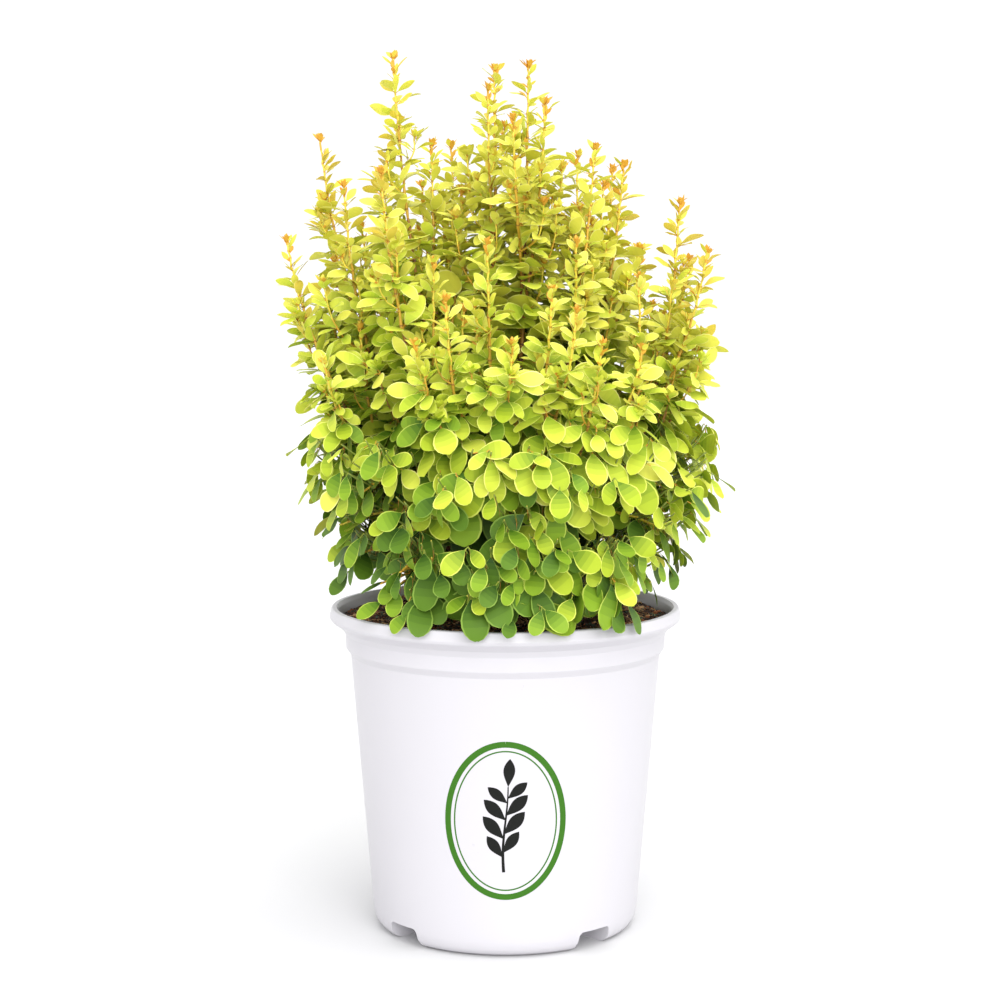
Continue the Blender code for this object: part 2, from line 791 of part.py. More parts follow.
def fused(name, stem, pieces, finish):
    """Fuses the pieces to the stem, and keeps the one body that results."""
    helpers = bpy.data.collections.new(name + "_pieces")
    bpy.context.scene.collection.children.link(helpers)
    body = add_object(name, stem, finish)
    for piece in pieces:
        add_object(name + "_piece", piece, finish, helpers)
    union = body.modifiers.new("fuse", "BOOLEAN")
    union.operation = "UNION"
    union.operand_type = "COLLECTION"
    union.collection = helpers
    union.solver = "MANIFOLD"
    whole = bpy.data.meshes.new_from_object(body.evaluated_get(bpy.context.evaluated_depsgraph_get()))
    body.modifiers.clear()
    body.data = whole
    for piece in list(helpers.objects):
        bpy.data.objects.remove(piece)
    bpy.data.collections.remove(helpers)
    keep_largest_body(body)
    return body


def keep_largest_body(obj):
    """Drops loose scraps, also one that meets the body only at an edge, and the walls of sealed hollows."""
    bm = bmesh.new()
    bm.from_mesh(obj.data)
    bmesh.ops.triangulate(bm, faces=bm.faces)
    left = set(bm.faces)
    bodies = []
    while left:
        todo = [left.pop()]
        body = []
        while todo:
            face = todo.pop()
            body.append(face)
            seams = [edge for edge in face.edges if len(edge.link_faces) == 2]
            beside = {other for edge in seams for other in edge.link_faces} & left
            left -= beside
            todo += beside
        bodies.append(body)
    bodies.sort(key=len)
    scrap = [face for body in bodies[:-1] for face in body]
    bmesh.ops.delete(bm, geom=scrap, context="FACES")
    bm.to_mesh(obj.data)
    bm.free()


def skirt_lines(middle):
    """A low stem from the foot's side that arches over the pot's rim, and a fork to each side of it."""
    reach = SKIRT_REACH + (SKIRT_REACH_FRONT - SKIRT_REACH) * max(-math.sin(middle), 0.0)
    root = around(STEM_RADIUS + GAP, middle, SKIRT_ROOT)
    arch = [around(share * reach, middle, SKIRT_ROOT + rise) for share, rise in SKIRT_ARCH]
    main = Line(bezier(root, *arch))
    lines = [(main, 0.0)]
    for share, aside, rise in SKIRT_FORKS:
        start, heading = main.place(share * main.length)
        tip = around(reach - SKIRT_FORK_SHORT, middle + aside, SKIRT_ROOT + rise)
        lines.append((Line(fork_path(start, heading, tip)), 0.0))
    return lines


def make_skirts(obstacles, chance):
    for k in range(SKIRTS):
        middle = math.tau * (k + 0.5) / SKIRTS
        holds = sector_room(middle, math.pi / SKIRTS)
        out = around(1, middle, 0)
        name = f"skirt_{k + 1:02d}"
        make_mass(name, skirt_lines(middle), holds, obstacles, LOWER_LEAF, chance, first_heading=out)


def make_foliage(clumps, obstacles, chance):
    for k, clump in enumerate(clumps, 1):
        holds = clump_room(clump, [other for other in clumps if other is not clump])
        start = clump.start + GAP
        lines = [(clump.main, start), *[(fork, 0.0) for fork in clump.forks]]
        core = Core(clump.main, start, holds)
        make_mass(f"foliage_{k:02d}", lines, holds, obstacles, UPPER_LEAF, chance, core)


def main():
    clear_scene()
    clumps = all_clumps()
    plant(clumps)
    limbs = [make_pot(), make_potting_mix(), make_stem_foot()]
    limbs += [make_cane(f"cane_{k:02d}", clump) for k, clump in enumerate(clumps, 1)]
    obstacles = Obstacles(limbs)
    chance = random.Random(SEED)
    make_skirts(obstacles, chance)
    make_foliage(clumps, obstacles, chance)


main()
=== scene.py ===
"""A golden, columnar Japanese barberry in its white nursery pot, dressed for a studio photograph.

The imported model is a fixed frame. Its pot, mix, foot, canes and foliage are made finer round it here, in the
order in which such a plant is put together. Metres, +Z up, and the front of the plant faces -Y.
"""

import itertools
import math
import random

import bmesh
import bpy
import numpy as np
from mathutils import Matrix, Quaternion, Vector, noise
from mathutils.kdtree import KDTree


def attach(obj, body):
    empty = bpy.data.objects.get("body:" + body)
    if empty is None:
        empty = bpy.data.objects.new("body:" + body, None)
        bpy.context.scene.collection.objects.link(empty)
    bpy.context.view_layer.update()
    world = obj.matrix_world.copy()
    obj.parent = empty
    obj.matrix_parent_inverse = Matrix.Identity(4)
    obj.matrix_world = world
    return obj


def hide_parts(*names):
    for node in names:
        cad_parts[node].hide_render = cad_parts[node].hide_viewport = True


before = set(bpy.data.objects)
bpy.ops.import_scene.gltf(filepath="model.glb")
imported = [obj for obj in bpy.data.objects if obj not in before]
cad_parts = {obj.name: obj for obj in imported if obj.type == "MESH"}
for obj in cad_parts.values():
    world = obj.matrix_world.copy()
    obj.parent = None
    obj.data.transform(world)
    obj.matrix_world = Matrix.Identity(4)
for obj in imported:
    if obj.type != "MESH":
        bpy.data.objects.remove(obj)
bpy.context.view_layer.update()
MM = 0.001
UP = Vector((0, 0, 1))

# Studio: a pale card sweep in a white room that lights it evenly from all round. A large soft light high up
# on the right takes the sweep up to white, and a stronger one low in front fills the foliage. The camera has
# a short telephoto lens and looks down a little, on to the rim of the pot.
LENS_MM = 75.8
CAMERA_PLACE = (-3.4 * MM, -1367 * MM, 420 * MM)
CAMERA_DIP = math.radians(5.85)
ROOM_LIGHT = 1.08
# Each light: its strength, and how far to the right of the front and how high it stands, in degrees
SOFT_LIGHTS = (("high_soft_light", 1.25, 50, 76), ("front_fill", 2.15, 10, 24))
SOFT_LIGHT_WIDTH = math.radians(50)
SWEEP_RADIUS = 6.0


def linear(hex_colour):
    """The linear colour of an sRGB hex colour."""
    parts = [int(hex_colour[i : i + 2], 16) / 255 for i in (1, 3, 5)]
    return tuple(p / 12.92 if p <= 0.04045 else ((p + 0.055) / 1.055) ** 2.4 for p in parts)


def add_node(tree, kind, inputs=None, **settings):
    """Adds a node, sets its settings, and gives each named input its value or its link."""
    made = tree.nodes.new(kind)
    for name, value in settings.items():
        setattr(made, name, value)
    for name, value in (inputs or {}).items():
        socket = made.inputs[name]
        if isinstance(value, bpy.types.NodeSocket):
            tree.links.new(value, socket)
        else:
            socket.default_value = (*value, 1) if socket.type == "RGBA" else value
    return made


def new_material(name, **values):
    """A Principled material, its tree and its shader, with plain values on the shader's own sockets."""
    made = bpy.data.materials.new(name)
    made.use_nodes = True
    shader = made.node_tree.nodes["Principled BSDF"]
    for key, value in values.items():
        socket = shader.inputs[key.replace("_", " ")]
        socket.default_value = (*value, 1) if socket.type == "RGBA" else value
    return made, made.node_tree, shader


def tone_between(tree, share, dark, light):
    """A colour that goes with share from the dark tone to the light one."""
    ends = {0: share, 6: linear(dark), 7: linear(light)}
    return add_node(tree, "ShaderNodeMix", ends, data_type="RGBA").outputs[2]


def show(name, mesh):
    """Puts a mesh into the scene."""
    made = bpy.data.objects.new(name, mesh)
    bpy.context.scene.collection.objects.link(made)
    return made


lens = bpy.data.cameras.new("studio_camera")
lens.sensor_width = 36
lens.lens = LENS_MM
camera = show("studio_camera", lens)
camera.location = CAMERA_PLACE
camera.rotation_euler = (math.pi / 2 - CAMERA_DIP, 0, 0)
bpy.context.scene.camera = camera
bpy.context.scene.view_settings.view_transform = "Standard"

room = bpy.data.worlds.new("white_room")
room.use_nodes = True
walls = room.node_tree.nodes["Background"].inputs
walls["Color"].default_value = (1, 1, 1, 1)
walls["Strength"].default_value = ROOM_LIGHT
bpy.context.scene.world = room
for name, strength, right, height in SOFT_LIGHTS:
    lamp = bpy.data.lights.new(name, "SUN")
    lamp.energy = strength
    lamp.angle = SOFT_LIGHT_WIDTH
    show(name, lamp).rotation_euler = (math.radians(90 - height), 0, math.radians(right))

sheet_bm = bmesh.new()
bmesh.ops.create_circle(sheet_bm, cap_ends=True, segments=96, radius=SWEEP_RADIUS)
sweep_mesh = bpy.data.meshes.new("sweep")
sheet_bm.to_mesh(sweep_mesh)
sheet_bm.free()
sweep = show("sweep", sweep_mesh)
# Matt white card: it gives no gloss, and its fibres a trace of mottle
card, tree, shader = new_material("white_card", Roughness=0.9)
mottle = add_node(tree, "ShaderNodeTexNoise", {"Scale": 40.0, "Detail": 4.0})
tree.links.new(tone_between(tree, mottle.outputs["Fac"], "#D5D5D7", "#D9D9D9"), shader.inputs["Base Color"])
sweep_mesh.materials.append(card)

# Pot: a round nursery container of white polypropylene, injection-moulded in one piece. Its wall is drafted,
# a raised band and a rolled lip stiffen the top, and four drain channels with a hole in the roof cross the
# foot. The profiles' corners are given as radius, height and rounding in mm, from the axis outwards.
POT_OUTSIDE = (
    (0, 0, 0),
    (86.2, 0, 11.0),
    (87.6, 17.0, 0),
    (101.2, 180.4, 0.5),
    (104.3, 184.8, 0.6),
    (104.7, 194.0, 0.5),
    (107.2, 198.0, 0.6),
    (114.0, 202.9, 0.5),
    (115.0, 204.9, 0.6),
    (113.4, 211.0, 1.0),
    (111.0, 211.0, 0),
    (0, 211.0, 0),
)
POT_INSIDE = (
    (0, 2.5, 0),
    (84.4, 2.5, 10.0),
    (99.2, 178.2, 1.0),
    (102.4, 182.8, 1.0),
    (102.9, 191.8, 1.2),
    (105.4, 197.0, 1.6),
    (108.7, 208.6, 1.0),
    (110.2, 211.0, 1.0),
    (112.0, 213.0, 0),
    (0, 213.0, 0),
)
POT_SIDES = 144
CHANNELS = 4
CHANNEL_TURN = math.radians(41)
CHANNEL_WIDTH = 28.0
CHANNEL_HEIGHT = 12.8
CHANNEL_ROUNDING = 3.2
CHANNEL_DRAFT = 1.2
CHANNEL_START = 60.0
CHANNEL_END = 120
CHANNEL_PAST = 2.0
WALL = 2.0
DRAIN_RADIUS = 4.0
DRAIN_PLACE = 72.0
EDGE_ROUNDING = 0.7 * MM
# Points nearer than this are one
MERGE = 0.001 * MM


def rounded(corners, steps=4):
    """The points of a profile in metres, with a curve in place of each corner that has a rounding."""
    points = [Vector((radius, height)) for radius, height, _ in corners]
    found = [points[0]]
    for before, corner, after, (_, _, cut) in zip(points, points[1:], points[2:], corners[1:]):
        if not cut:
            found.append(corner)
            continue
        first = corner + cut * (before - corner).normalized()
        last = corner + cut * (after - corner).normalized()
        for i in range(steps + 1):
            t = i / steps
            found.append((1 - t) ** 2 * first + 2 * t * (1 - t) * corner + t**2 * last)
    found.append(points[-1])
    return [(MM * point.x, MM * point.y) for point in found]


def turned(profile, sides):
    """A closed solid of revolution about Z. The profile's first and last points lie on the axis."""
    bm = bmesh.new()
    points = [bm.verts.new((radius, 0, height)) for radius, height in profile]
    edges = [bm.edges.new(pair) for pair in zip(points, points[1:])]
    bmesh.ops.spin(
        bm, geom=points + edges, cent=(0, 0, 0), axis=(0, 0, 1), angle=math.tau, steps=sides, use_merge=True
    )
    bmesh.ops.remove_doubles(bm, verts=bm.verts, dist=MERGE)
    bmesh.ops.recalc_face_normals(bm, faces=bm.faces)
    return bm


def shaped(name, bm, *materials):
    """An object from a bmesh, which is freed."""
    mesh = bpy.data.meshes.new(name)
    bm.to_mesh(mesh)
    bm.free()
    for made in materials:
        mesh.materials.append(made)
    return show(name, mesh)


def channel_solid(grow):
    """The space of the drain channels, larger all round by grow: drafted slots with rounded top corners."""
    half_top = CHANNEL_WIDTH / 2 - CHANNEL_DRAFT + grow
    top = CHANNEL_HEIGHT + grow
    corner = CHANNEL_ROUNDING + grow
    turns = [math.pi / 2 * i / 5 for i in range(6)]
    right = [(half_top + CHANNEL_DRAFT, -CHANNEL_PAST)]
    right += [(half_top - corner * (1 - math.cos(t)), top - corner * (1 - math.sin(t))) for t in turns]
    outline = right + [(-y, z) for y, z in reversed(right)]
    start = CHANNEL_START - grow
    bm = bmesh.new()
    for k in range(CHANNELS):
        place = Matrix.Rotation(CHANNEL_TURN + math.tau * k / CHANNELS, 4, "Z")
        ends = []
        for x in (start, CHANNEL_END):
            ends.append([bm.verts.new(place @ (MM * Vector((x, y, z)))) for y, z in outline])
        for i in range(len(outline)):
            j = (i + 1) % len(outline)
            bm.faces.new((ends[0][i], ends[1][i], ends[1][j], ends[0][j]))
        bm.faces.new(ends[0])
        bm.faces.new(reversed(ends[1]))
    bmesh.ops.recalc_face_normals(bm, faces=bm.faces)
    return bm


def drain_solid():
    """The rods that leave a round hole in each channel's roof."""
    bm = bmesh.new()
    for k in range(CHANNELS):
        turn = Matrix.Rotation(CHANNEL_TURN + math.tau * k / CHANNELS, 4, "Z")
        place = turn @ Matrix.Translation((MM * DRAIN_PLACE, 0, MM * CHANNEL_HEIGHT))
        radius = MM * DRAIN_RADIUS
        bmesh.ops.create_cone(
            bm, cap_ends=True, segments=32, radius1=radius, radius2=radius, depth=8 * MM * WALL, matrix=place
        )
    return bm


def cut(obj, cutter):
    """Cuts the cutter's shape out of the object, and removes the cutter."""
    modifier = obj.modifiers.new("cut", "BOOLEAN")
    modifier.operation = "DIFFERENCE"
    modifier.object = cutter
    settle(obj)
    bpy.data.objects.remove(cutter)


def add_relief(tree, shader, height, strength, depth):
    """Raises the surface by a pattern, as far as depth."""
    values = {"Height": height, "Strength": strength, "Distance": depth}
    tree.links.new(add_node(tree, "ShaderNodeBump", values).outputs["Normal"], shader.inputs["Normal"])


def settle(obj):
    """Applies the object's modifiers."""
    whole = bpy.data.meshes.new_from_object(obj.evaluated_get(bpy.context.evaluated_depsgraph_get()))
    obj.modifiers.clear()
    old = obj.data
    obj.data = whole
    bpy.data.meshes.remove(old)


# Moulded polypropylene: a cool white that shines softly, and is duller where it has rubbed against other pots
polypropylene, tree, shader = new_material("moulded_white_polypropylene", IOR=1.49)
place = add_node(tree, "ShaderNodeTexCoord").outputs["Object"]
flow = add_node(tree, "ShaderNodeTexNoise", {"Vector": place, "Scale": 9.0, "Detail": 3.0})
rubbing = add_node(tree, "ShaderNodeTexNoise", {"Vector": place, "Scale": 60.0, "Detail": 6.0}).outputs["Fac"]
gloss = add_node(tree, "ShaderNodeMapRange", {"Value": rubbing, "To Min": 0.24, "To Max": 0.38})
# The spark-eroded mould leaves a grain of about 0.6 mm
grain = add_node(tree, "ShaderNodeTexNoise", {"Vector": place, "Scale": 1600.0, "Detail": 2.0})
tree.links.new(tone_between(tree, flow.outputs["Fac"], "#C6C4C9", "#CBC9CE"), shader.inputs["Base Color"])
tree.links.new(gloss.outputs["Result"], shader.inputs["Roughness"])
add_relief(tree, shader, grain.outputs["Fac"], 0.06, 0.02 * MM)

pot = shaped("white_pot", turned(rounded(POT_OUTSIDE), POT_SIDES), polypropylene)
cavity = shaped("cavity", turned(rounded(POT_INSIDE), POT_SIDES))
cut(cavity, shaped("channel_walls", channel_solid(WALL)))
cut(pot, cavity)
cut(pot, shaped("channels", channel_solid(0.0)))
cut(pot, shaped("drain_holes", drain_solid()))
soft_edges = pot.modifiers.new("soft_edges", "BEVEL")
soft_edges.width = EDGE_ROUNDING
soft_edges.segments = 2
soft_edges.limit_method = "ANGLE"
soft_edges.angle_limit = math.radians(50)
soft_edges.use_clamp_overlap = True
settle(pot)
pot.data.shade_smooth()
pot.data.set_sharp_from_angle(angle=math.radians(32))
crisp_steps = pot.modifiers.new("crisp_steps", "WEIGHTED_NORMAL")
crisp_steps.keep_sharp = True
settle(pot)
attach(pot, "root")
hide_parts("pot")

# Print: two inks, screen-printed on the front of the wall before the pot is filled: a green oval of two
# lines, and in it a plain sprig with dark leaves. The ink lies on the plastic as a thin film.
PRINT_MIDDLE = 90.0
# Half the width and half the height of each line's middle, and half its thickness, in mm
OVALS = ((36.6, 49.1, 1.9), (32.2, 44.7, 0.45))
SPRIG_FOOT = -33.0
SPRIG_TOP = 22.0
SPRIG_STEM = 0.75
SPRIG_SWAY = 1.6
SPRIG_WAVE = 14
# Each pair of leaves: its height and length in mm, and how far it leans in degrees
SPRIG_PAIRS = ((-22.0, 17.0, 36), (-10.0, 19.5, 42), (2.0, 19.0, 46), (13.0, 16.0, 50))
SPRIG_TOP_LEAF = 18.0
SPRIG_LEAF_STEPS = 12
OVAL_STEPS = 96
INK_FILM = 0.05 * MM
INK_STEP = 2.0


def wall_place(x, z):
    """The place on the front of the wall that lies x to the right and z above the print's middle, in mm."""
    height = PRINT_MIDDLE + z
    low, high = POT_OUTSIDE[1], POT_OUTSIDE[3]
    radius = low[0] + (high[0] - low[0]) * (height - low[1]) / (high[1] - low[1])
    return MM * Vector((radius * math.sin(x / radius), -radius * math.cos(x / radius), height))


def ribbon(bm, middle, half_width):
    """A strip along points of the print, as wide at each as half_width says there."""
    rows = []
    for i, (x, z) in enumerate(middle):
        before, after = middle[max(i - 1, 0)], middle[min(i + 1, len(middle) - 1)]
        way = Vector((after[0] - before[0], after[1] - before[1])).normalized()
        wide = half_width(i / (len(middle) - 1))
        columns = max(1, math.ceil(2 * max(half_width(k / 8) for k in range(9)) / INK_STEP))
        row = []
        for k in range(columns + 1):
            off = wide * (2 * k / columns - 1)
            row.append(bm.verts.new(wall_place(x + way.y * off, z - way.x * off)))
        rows.append(row)
    for low, high in zip(rows, rows[1:]):
        for k in range(len(low) - 1):
            bm.faces.new((low[k], low[k + 1], high[k + 1], high[k]))


def printed_leaf(bm, x, z, length, turn):
    """A leaf of the sprig: narrow at its foot, widest past its middle, and pointed."""
    across, up = math.sin(turn) * length, math.cos(turn) * length
    middle = []
    for i in range(SPRIG_LEAF_STEPS + 1):
        middle.append((x + across * i / SPRIG_LEAF_STEPS, z + up * i / SPRIG_LEAF_STEPS))
    ribbon(bm, middle, lambda t: 0.04 + 0.2 * length * math.sin(math.pi * t**1.25) ** 0.9)


def print_object(name, bm, ink):
    """The printed shapes as a film on the wall."""
    bmesh.ops.remove_doubles(bm, verts=bm.verts, dist=MERGE)
    bmesh.ops.recalc_face_normals(bm, faces=bm.faces)
    made = shaped(name, bm, ink)
    film = made.modifiers.new("film", "SOLIDIFY")
    film.thickness = 2 * INK_FILM
    film.offset = 0
    settle(made)
    made.data.shade_smooth()
    made.data.set_sharp_from_angle(angle=math.radians(40))
    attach(made, "root")
    return made


def printing_ink(name, dark, light):
    """Screen-printing ink: an even satin film, with a faint mottle from the mesh it is pressed through."""
    made, tree, shader = new_material(name, Roughness=0.55, IOR=1.48, Specular_IOR_Level=0.15)
    where = add_node(tree, "ShaderNodeTexCoord").outputs["Object"]
    mesh_marks = add_node(tree, "ShaderNodeTexNoise", {"Vector": where, "Scale": 700.0, "Detail": 2.0})
    tree.links.new(tone_between(tree, mesh_marks.outputs["Fac"], dark, light), shader.inputs["Base Color"])
    return made


oval_bm = bmesh.new()
for wide, tall, half in OVALS:
    turns = [math.tau * i / OVAL_STEPS for i in range(OVAL_STEPS + 1)]
    ribbon(oval_bm, [(wide * math.sin(t), tall * math.cos(t)) for t in turns], lambda t: half)
print_object("printed_oval", oval_bm, printing_ink("green_printing_ink", "#35661A", "#3B6F20"))
sprig_bm = bmesh.new()
stem = [(SPRIG_SWAY * math.sin(z / SPRIG_WAVE), z) for z in np.linspace(SPRIG_FOOT, SPRIG_TOP, 28)]
ribbon(sprig_bm, stem, lambda t: SPRIG_STEM * (1.3 - 0.8 * t))
for height, length, lean in SPRIG_PAIRS:
    middle = SPRIG_SWAY * math.sin(height / SPRIG_WAVE)
    for side in (-1, 1):
        printed_leaf(sprig_bm, middle, height + 1.5 * side, length, side * math.radians(lean))
printed_leaf(sprig_bm, stem[-1][0], SPRIG_TOP, SPRIG_TOP_LEAF, math.radians(4))
print_object("printed_sprig", sprig_bm, printing_ink("black_printing_ink", "#131413", "#1A1B19"))

# Potting mix: composted pine bark with peat, poured in and settled, mounded a little round the plant. It is a
# rough dark body, with chips of bark and fibres lying loose on top.
MIX_FOOT = 2.8
MIX_CLEAR = 0.3
MIX_EDGE = 203.5
MIX_EDGE_RADIUS = 106.6
MIX_TOP = 211.0
MIX_PAD_RADIUS = 25.0
MIX_RINGS = 44
MIX_SIDES = 220
# The lumps' sizes and heights, and where they start round the foot
MIX_LUMPS = ((14.0, 1.5), (5.0, 0.9), (2.2, 0.5))
LUMPS_FROM = 16
LUMPS_OVER = 14
# Each kind of chip: its dark and its light tone, and its share of the mix
CHIP_TINTS = (
    ("composted_bark", "#21150E", "#3C281B", 0.31),
    ("pine_bark", "#452A1A", "#6B462C", 0.25),
    ("red_pine_bark", "#6E3C22", "#A0633A", 0.11),
    ("weathered_bark", "#2C3B36", "#56664E", 0.17),
    ("pine_sapwood", "#A0744C", "#D0A878", 0.16),
)
CHIPS = 5000
CHIP_PLACES = (18.0, 103.0)
CHIP_LENGTH = (1.8, 8.0)
CHIP_WIDTH = (0.25, 0.55)
CHIP_THICKNESS = (0.5, 1.6)
CHIP_END = 105.5
FIBRES = 520
FIBRE_PLACES = (20.0, 100.0)
FIBRE_LENGTH = (5.0, 19.0)
FIBRE_BEND = (-1.4, 1.4)
FIBRE_RADIUS = (0.14, 0.32)
FIBRE_END = 104.5
FIBRE_STEPS = 5
FIBRE_TINTS = (("peat_fibre", "#7A4E2E", "#A06C44"), ("straw_fibre", "#B48C5C", "#DDBB88"))


def clamp(value, least=0.0):
    """The value, held between least and 1."""
    return min(max(value, least), 1.0)


def mix_height(x, y):
    """The height of the mix's surface in mm at that place in mm."""
    reach = math.hypot(x, y)
    outward = clamp((reach - MIX_PAD_RADIUS) / (MIX_EDGE_RADIUS - MIX_PAD_RADIUS))
    height = MIX_TOP + (MIX_EDGE - MIX_TOP) * outward
    lumpy = clamp((reach - LUMPS_FROM) / LUMPS_OVER)
    for size, rise in MIX_LUMPS:
        height += lumpy * rise * noise.noise(Vector((x / size, y / size, size)))
    return height


class Heap:
    """Many small things of one kind, joined into one mesh: points, faces and the slot of each face."""

    def __init__(self):
        self.points = []
        self.faces = []
        self.slots = []

    def add(self, points, faces, slot=0):
        first = len(self.points)
        self.points += points
        self.faces += [tuple(first + i for i in face) for face in faces]
        self.slots += slot if isinstance(slot, list) else [slot] * len(faces)

    def made(self, name, materials, smooth=True):
        mesh = bpy.data.meshes.new(name)
        mesh.from_pydata(self.points, [], self.faces)
        for finish in materials:
            mesh.materials.append(finish)
        mesh.polygons.foreach_set("material_index", self.slots)
        if smooth:
            mesh.shade_smooth()
        return show(name, mesh)


CHIP_FACES = ((0, 1, 2, 3), (7, 6, 5, 4), (0, 4, 5, 1), (1, 5, 6, 2), (2, 6, 7, 3), (3, 7, 4, 0))

# Composted bark and peat: near black when moist, with browner crumbs
mix_matter, tree, shader = new_material("moist_bark_mix", Roughness=0.95)
place = add_node(tree, "ShaderNodeTexCoord").outputs["Object"]
crumbs = add_node(tree, "ShaderNodeTexVoronoi", {"Vector": place, "Scale": 420.0})
tone = add_node(tree, "ShaderNodeValToRGB", {"Fac": crumbs.outputs["Color"]})
tone.color_ramp.elements[0].color = (*linear("#1A110B"), 1)
tone.color_ramp.elements[1].color = (*linear("#4A2E1D"), 1)
tree.links.new(tone.outputs["Color"], shader.inputs["Base Color"])
add_relief(tree, shader, crumbs.outputs["Distance"], 0.8, 1.0 * MM)

side = [(radius - MIX_CLEAR, max(height, MIX_FOOT), rounding) for radius, height, rounding in POT_INSIDE[1:5]]
top = []
for i in range(MIX_RINGS):
    inward = i / MIX_RINGS
    top.append((MIX_EDGE_RADIUS * (1 - inward), MIX_EDGE + (MIX_TOP - MIX_EDGE) * i / MIX_RINGS, 0))
mix_bm = turned(rounded([(0, MIX_FOOT, 0), *side, *top, (0, MIX_TOP, 0)]), MIX_SIDES)
for vert in mix_bm.verts:
    x, y, z = vert.co / MM
    if z > MIX_EDGE - 0.5:
        vert.co.z = MM * mix_height(x, y)
mix = shaped("potting_mix_body", mix_bm, mix_matter)
cut(mix, shaped("channel_room", channel_solid(WALL + MIX_CLEAR)))
mix.data.shade_smooth()
mix.data.set_sharp_from_angle(angle=math.radians(60))
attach(mix, "root")
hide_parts("potting_mix")

chance = random.Random(5)
chips = Heap()
chip_shares = [share for _, _, _, share in CHIP_TINTS]
for _ in range(CHIPS):
    reach = math.sqrt(chance.uniform(*(edge**2 for edge in CHIP_PLACES)))
    turn = chance.uniform(0, math.tau)
    x, y = reach * math.cos(turn), reach * math.sin(turn)
    long = chance.uniform(*CHIP_LENGTH) * chance.uniform(0.5, 1.0)
    long = min(long, 2 * (CHIP_END - reach))
    wide, thick = long * chance.uniform(*CHIP_WIDTH), chance.uniform(*CHIP_THICKNESS)
    lie = Matrix.Rotation(chance.uniform(0, math.tau), 3, "Z")
    lie = lie @ Matrix.Rotation(chance.gauss(0, 0.35), 3, "X")
    lie = lie @ Matrix.Rotation(chance.gauss(0, 0.3), 3, "Y")
    middle = Vector((x, y, mix_height(x, y) + 0.3 * thick))
    corners = []
    for level in (1, -1):
        for along, across in ((-1, -1), (1, -1), (1, 1), (-1, 1)):
            x = along * long * chance.uniform(0.35, 0.5)
            y = across * wide * chance.uniform(0.3, 0.5)
            corners.append(MM * (middle + lie @ Vector((x, y, level * thick / 2))))
    chips.add(corners, CHIP_FACES, chance.choices(range(len(CHIP_TINTS)), chip_shares)[0])


def dry_chip(name, dark, light):
    """Bark, wood or fibre that has dried: matt, with a grain of about a millimetre in two tones."""
    made, tree, shader = new_material(name, Roughness=0.85)
    where = add_node(tree, "ShaderNodeTexCoord").outputs["Object"]
    specks = add_node(tree, "ShaderNodeTexNoise", {"Vector": where, "Scale": 800.0, "Detail": 3.0})
    tree.links.new(tone_between(tree, specks.outputs["Fac"], dark, light), shader.inputs["Base Color"])
    return made


# Chips of bark and wood, from near black to the pale tan of sapwood
chip_finishes = [dry_chip(name, dark, light) for name, dark, light, _ in CHIP_TINTS]
bark_chips = chips.made("bark_chips", chip_finishes, smooth=False)
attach(bark_chips, "root")


def tube(points, radii, sides, ridge=0.0, first_across=Vector((1, 0, 0))):
    """The rings and faces of a limb through points, closed at both ends, with a ridge on every other side."""
    ring_points, faces = [], []
    across = first_across
    for i, (point, radius) in enumerate(zip(points, radii)):
        heading = (points[min(i + 1, len(points) - 1)] - points[max(i - 1, 0)]).normalized()
        across = across - heading * across.dot(heading)
        if across.length < 1e-6:
            across = heading.orthogonal()
        across.normalize()
        beside = heading.cross(across)
        for k in range(sides):
            turn = math.tau * k / sides
            reach = radius * (1 + ridge * (k % 2))
            ring_points.append(point + reach * (math.cos(turn) * across + math.sin(turn) * beside))
    for i in range(len(points) - 1):
        for k in range(sides):
            j = (k + 1) % sides
            faces.append((i * sides + k, i * sides + j, (i + 1) * sides + j, (i + 1) * sides + k))
    faces.append(tuple(reversed(range(sides))))
    faces.append(tuple(range((len(points) - 1) * sides, len(points) * sides)))
    return ring_points, faces


fibres = Heap()
for _ in range(FIBRES):
    reach = math.sqrt(chance.uniform(*(edge**2 for edge in FIBRE_PLACES)))
    turn = chance.uniform(0, math.tau)
    heading = chance.uniform(0, math.tau)
    long = chance.uniform(*FIBRE_LENGTH)
    bend = chance.uniform(*FIBRE_BEND)
    x, y = reach * math.cos(turn), reach * math.sin(turn)
    way = []
    for i in range(FIBRE_STEPS + 1):
        if math.hypot(x, y) < FIBRE_END:
            way.append(MM * Vector((x, y, mix_height(x, y) + 1.3 + 0.8 * math.sin(i * 1.1 + turn))))
        x += long / FIBRE_STEPS * math.cos(heading)
        y += long / FIBRE_STEPS * math.sin(heading)
        heading += bend / FIBRE_STEPS
    if len(way) > 2:
        thick = MM * chance.uniform(*FIBRE_RADIUS)
        radii = [thick * (1 - 0.5 * i / len(way)) for i in range(len(way))]
        fibres.add(*tube(way, radii, 3), chance.randrange(len(FIBRE_TINTS)))
# Fibres of peat and straw: thin, dry and pale against the bark
loose_fibres = fibres.made("mix_fibres", [dry_chip(*tints) for tints in FIBRE_TINTS])
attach(loose_fibres, "root")

# Foot: the short woody trunk at the surface of the mix, grown thick where the canes rise from it. Its bark is
# thin, grey-brown and split lengthwise. Its outline is given as radii in mm by shares of its height.
GAP = 0.3 * MM
STEM_BASE = MM * MIX_TOP + GAP
STEM_HEIGHT = 16 * MM
STEM_RADIUS = 17 * MM
STEM_FLARE = ((22.0, 0), (20.2, 0.08), (18.7, 0.2), (17.0, 0.4))
STEM_OUTLINE = (*STEM_FLARE, (16.9, 0.6), (17.0, 0.78), (16.2, 0.95), (15.0, 1))
STEM_SIDES = 96
BARK_SPLITS = 0.5 * MM


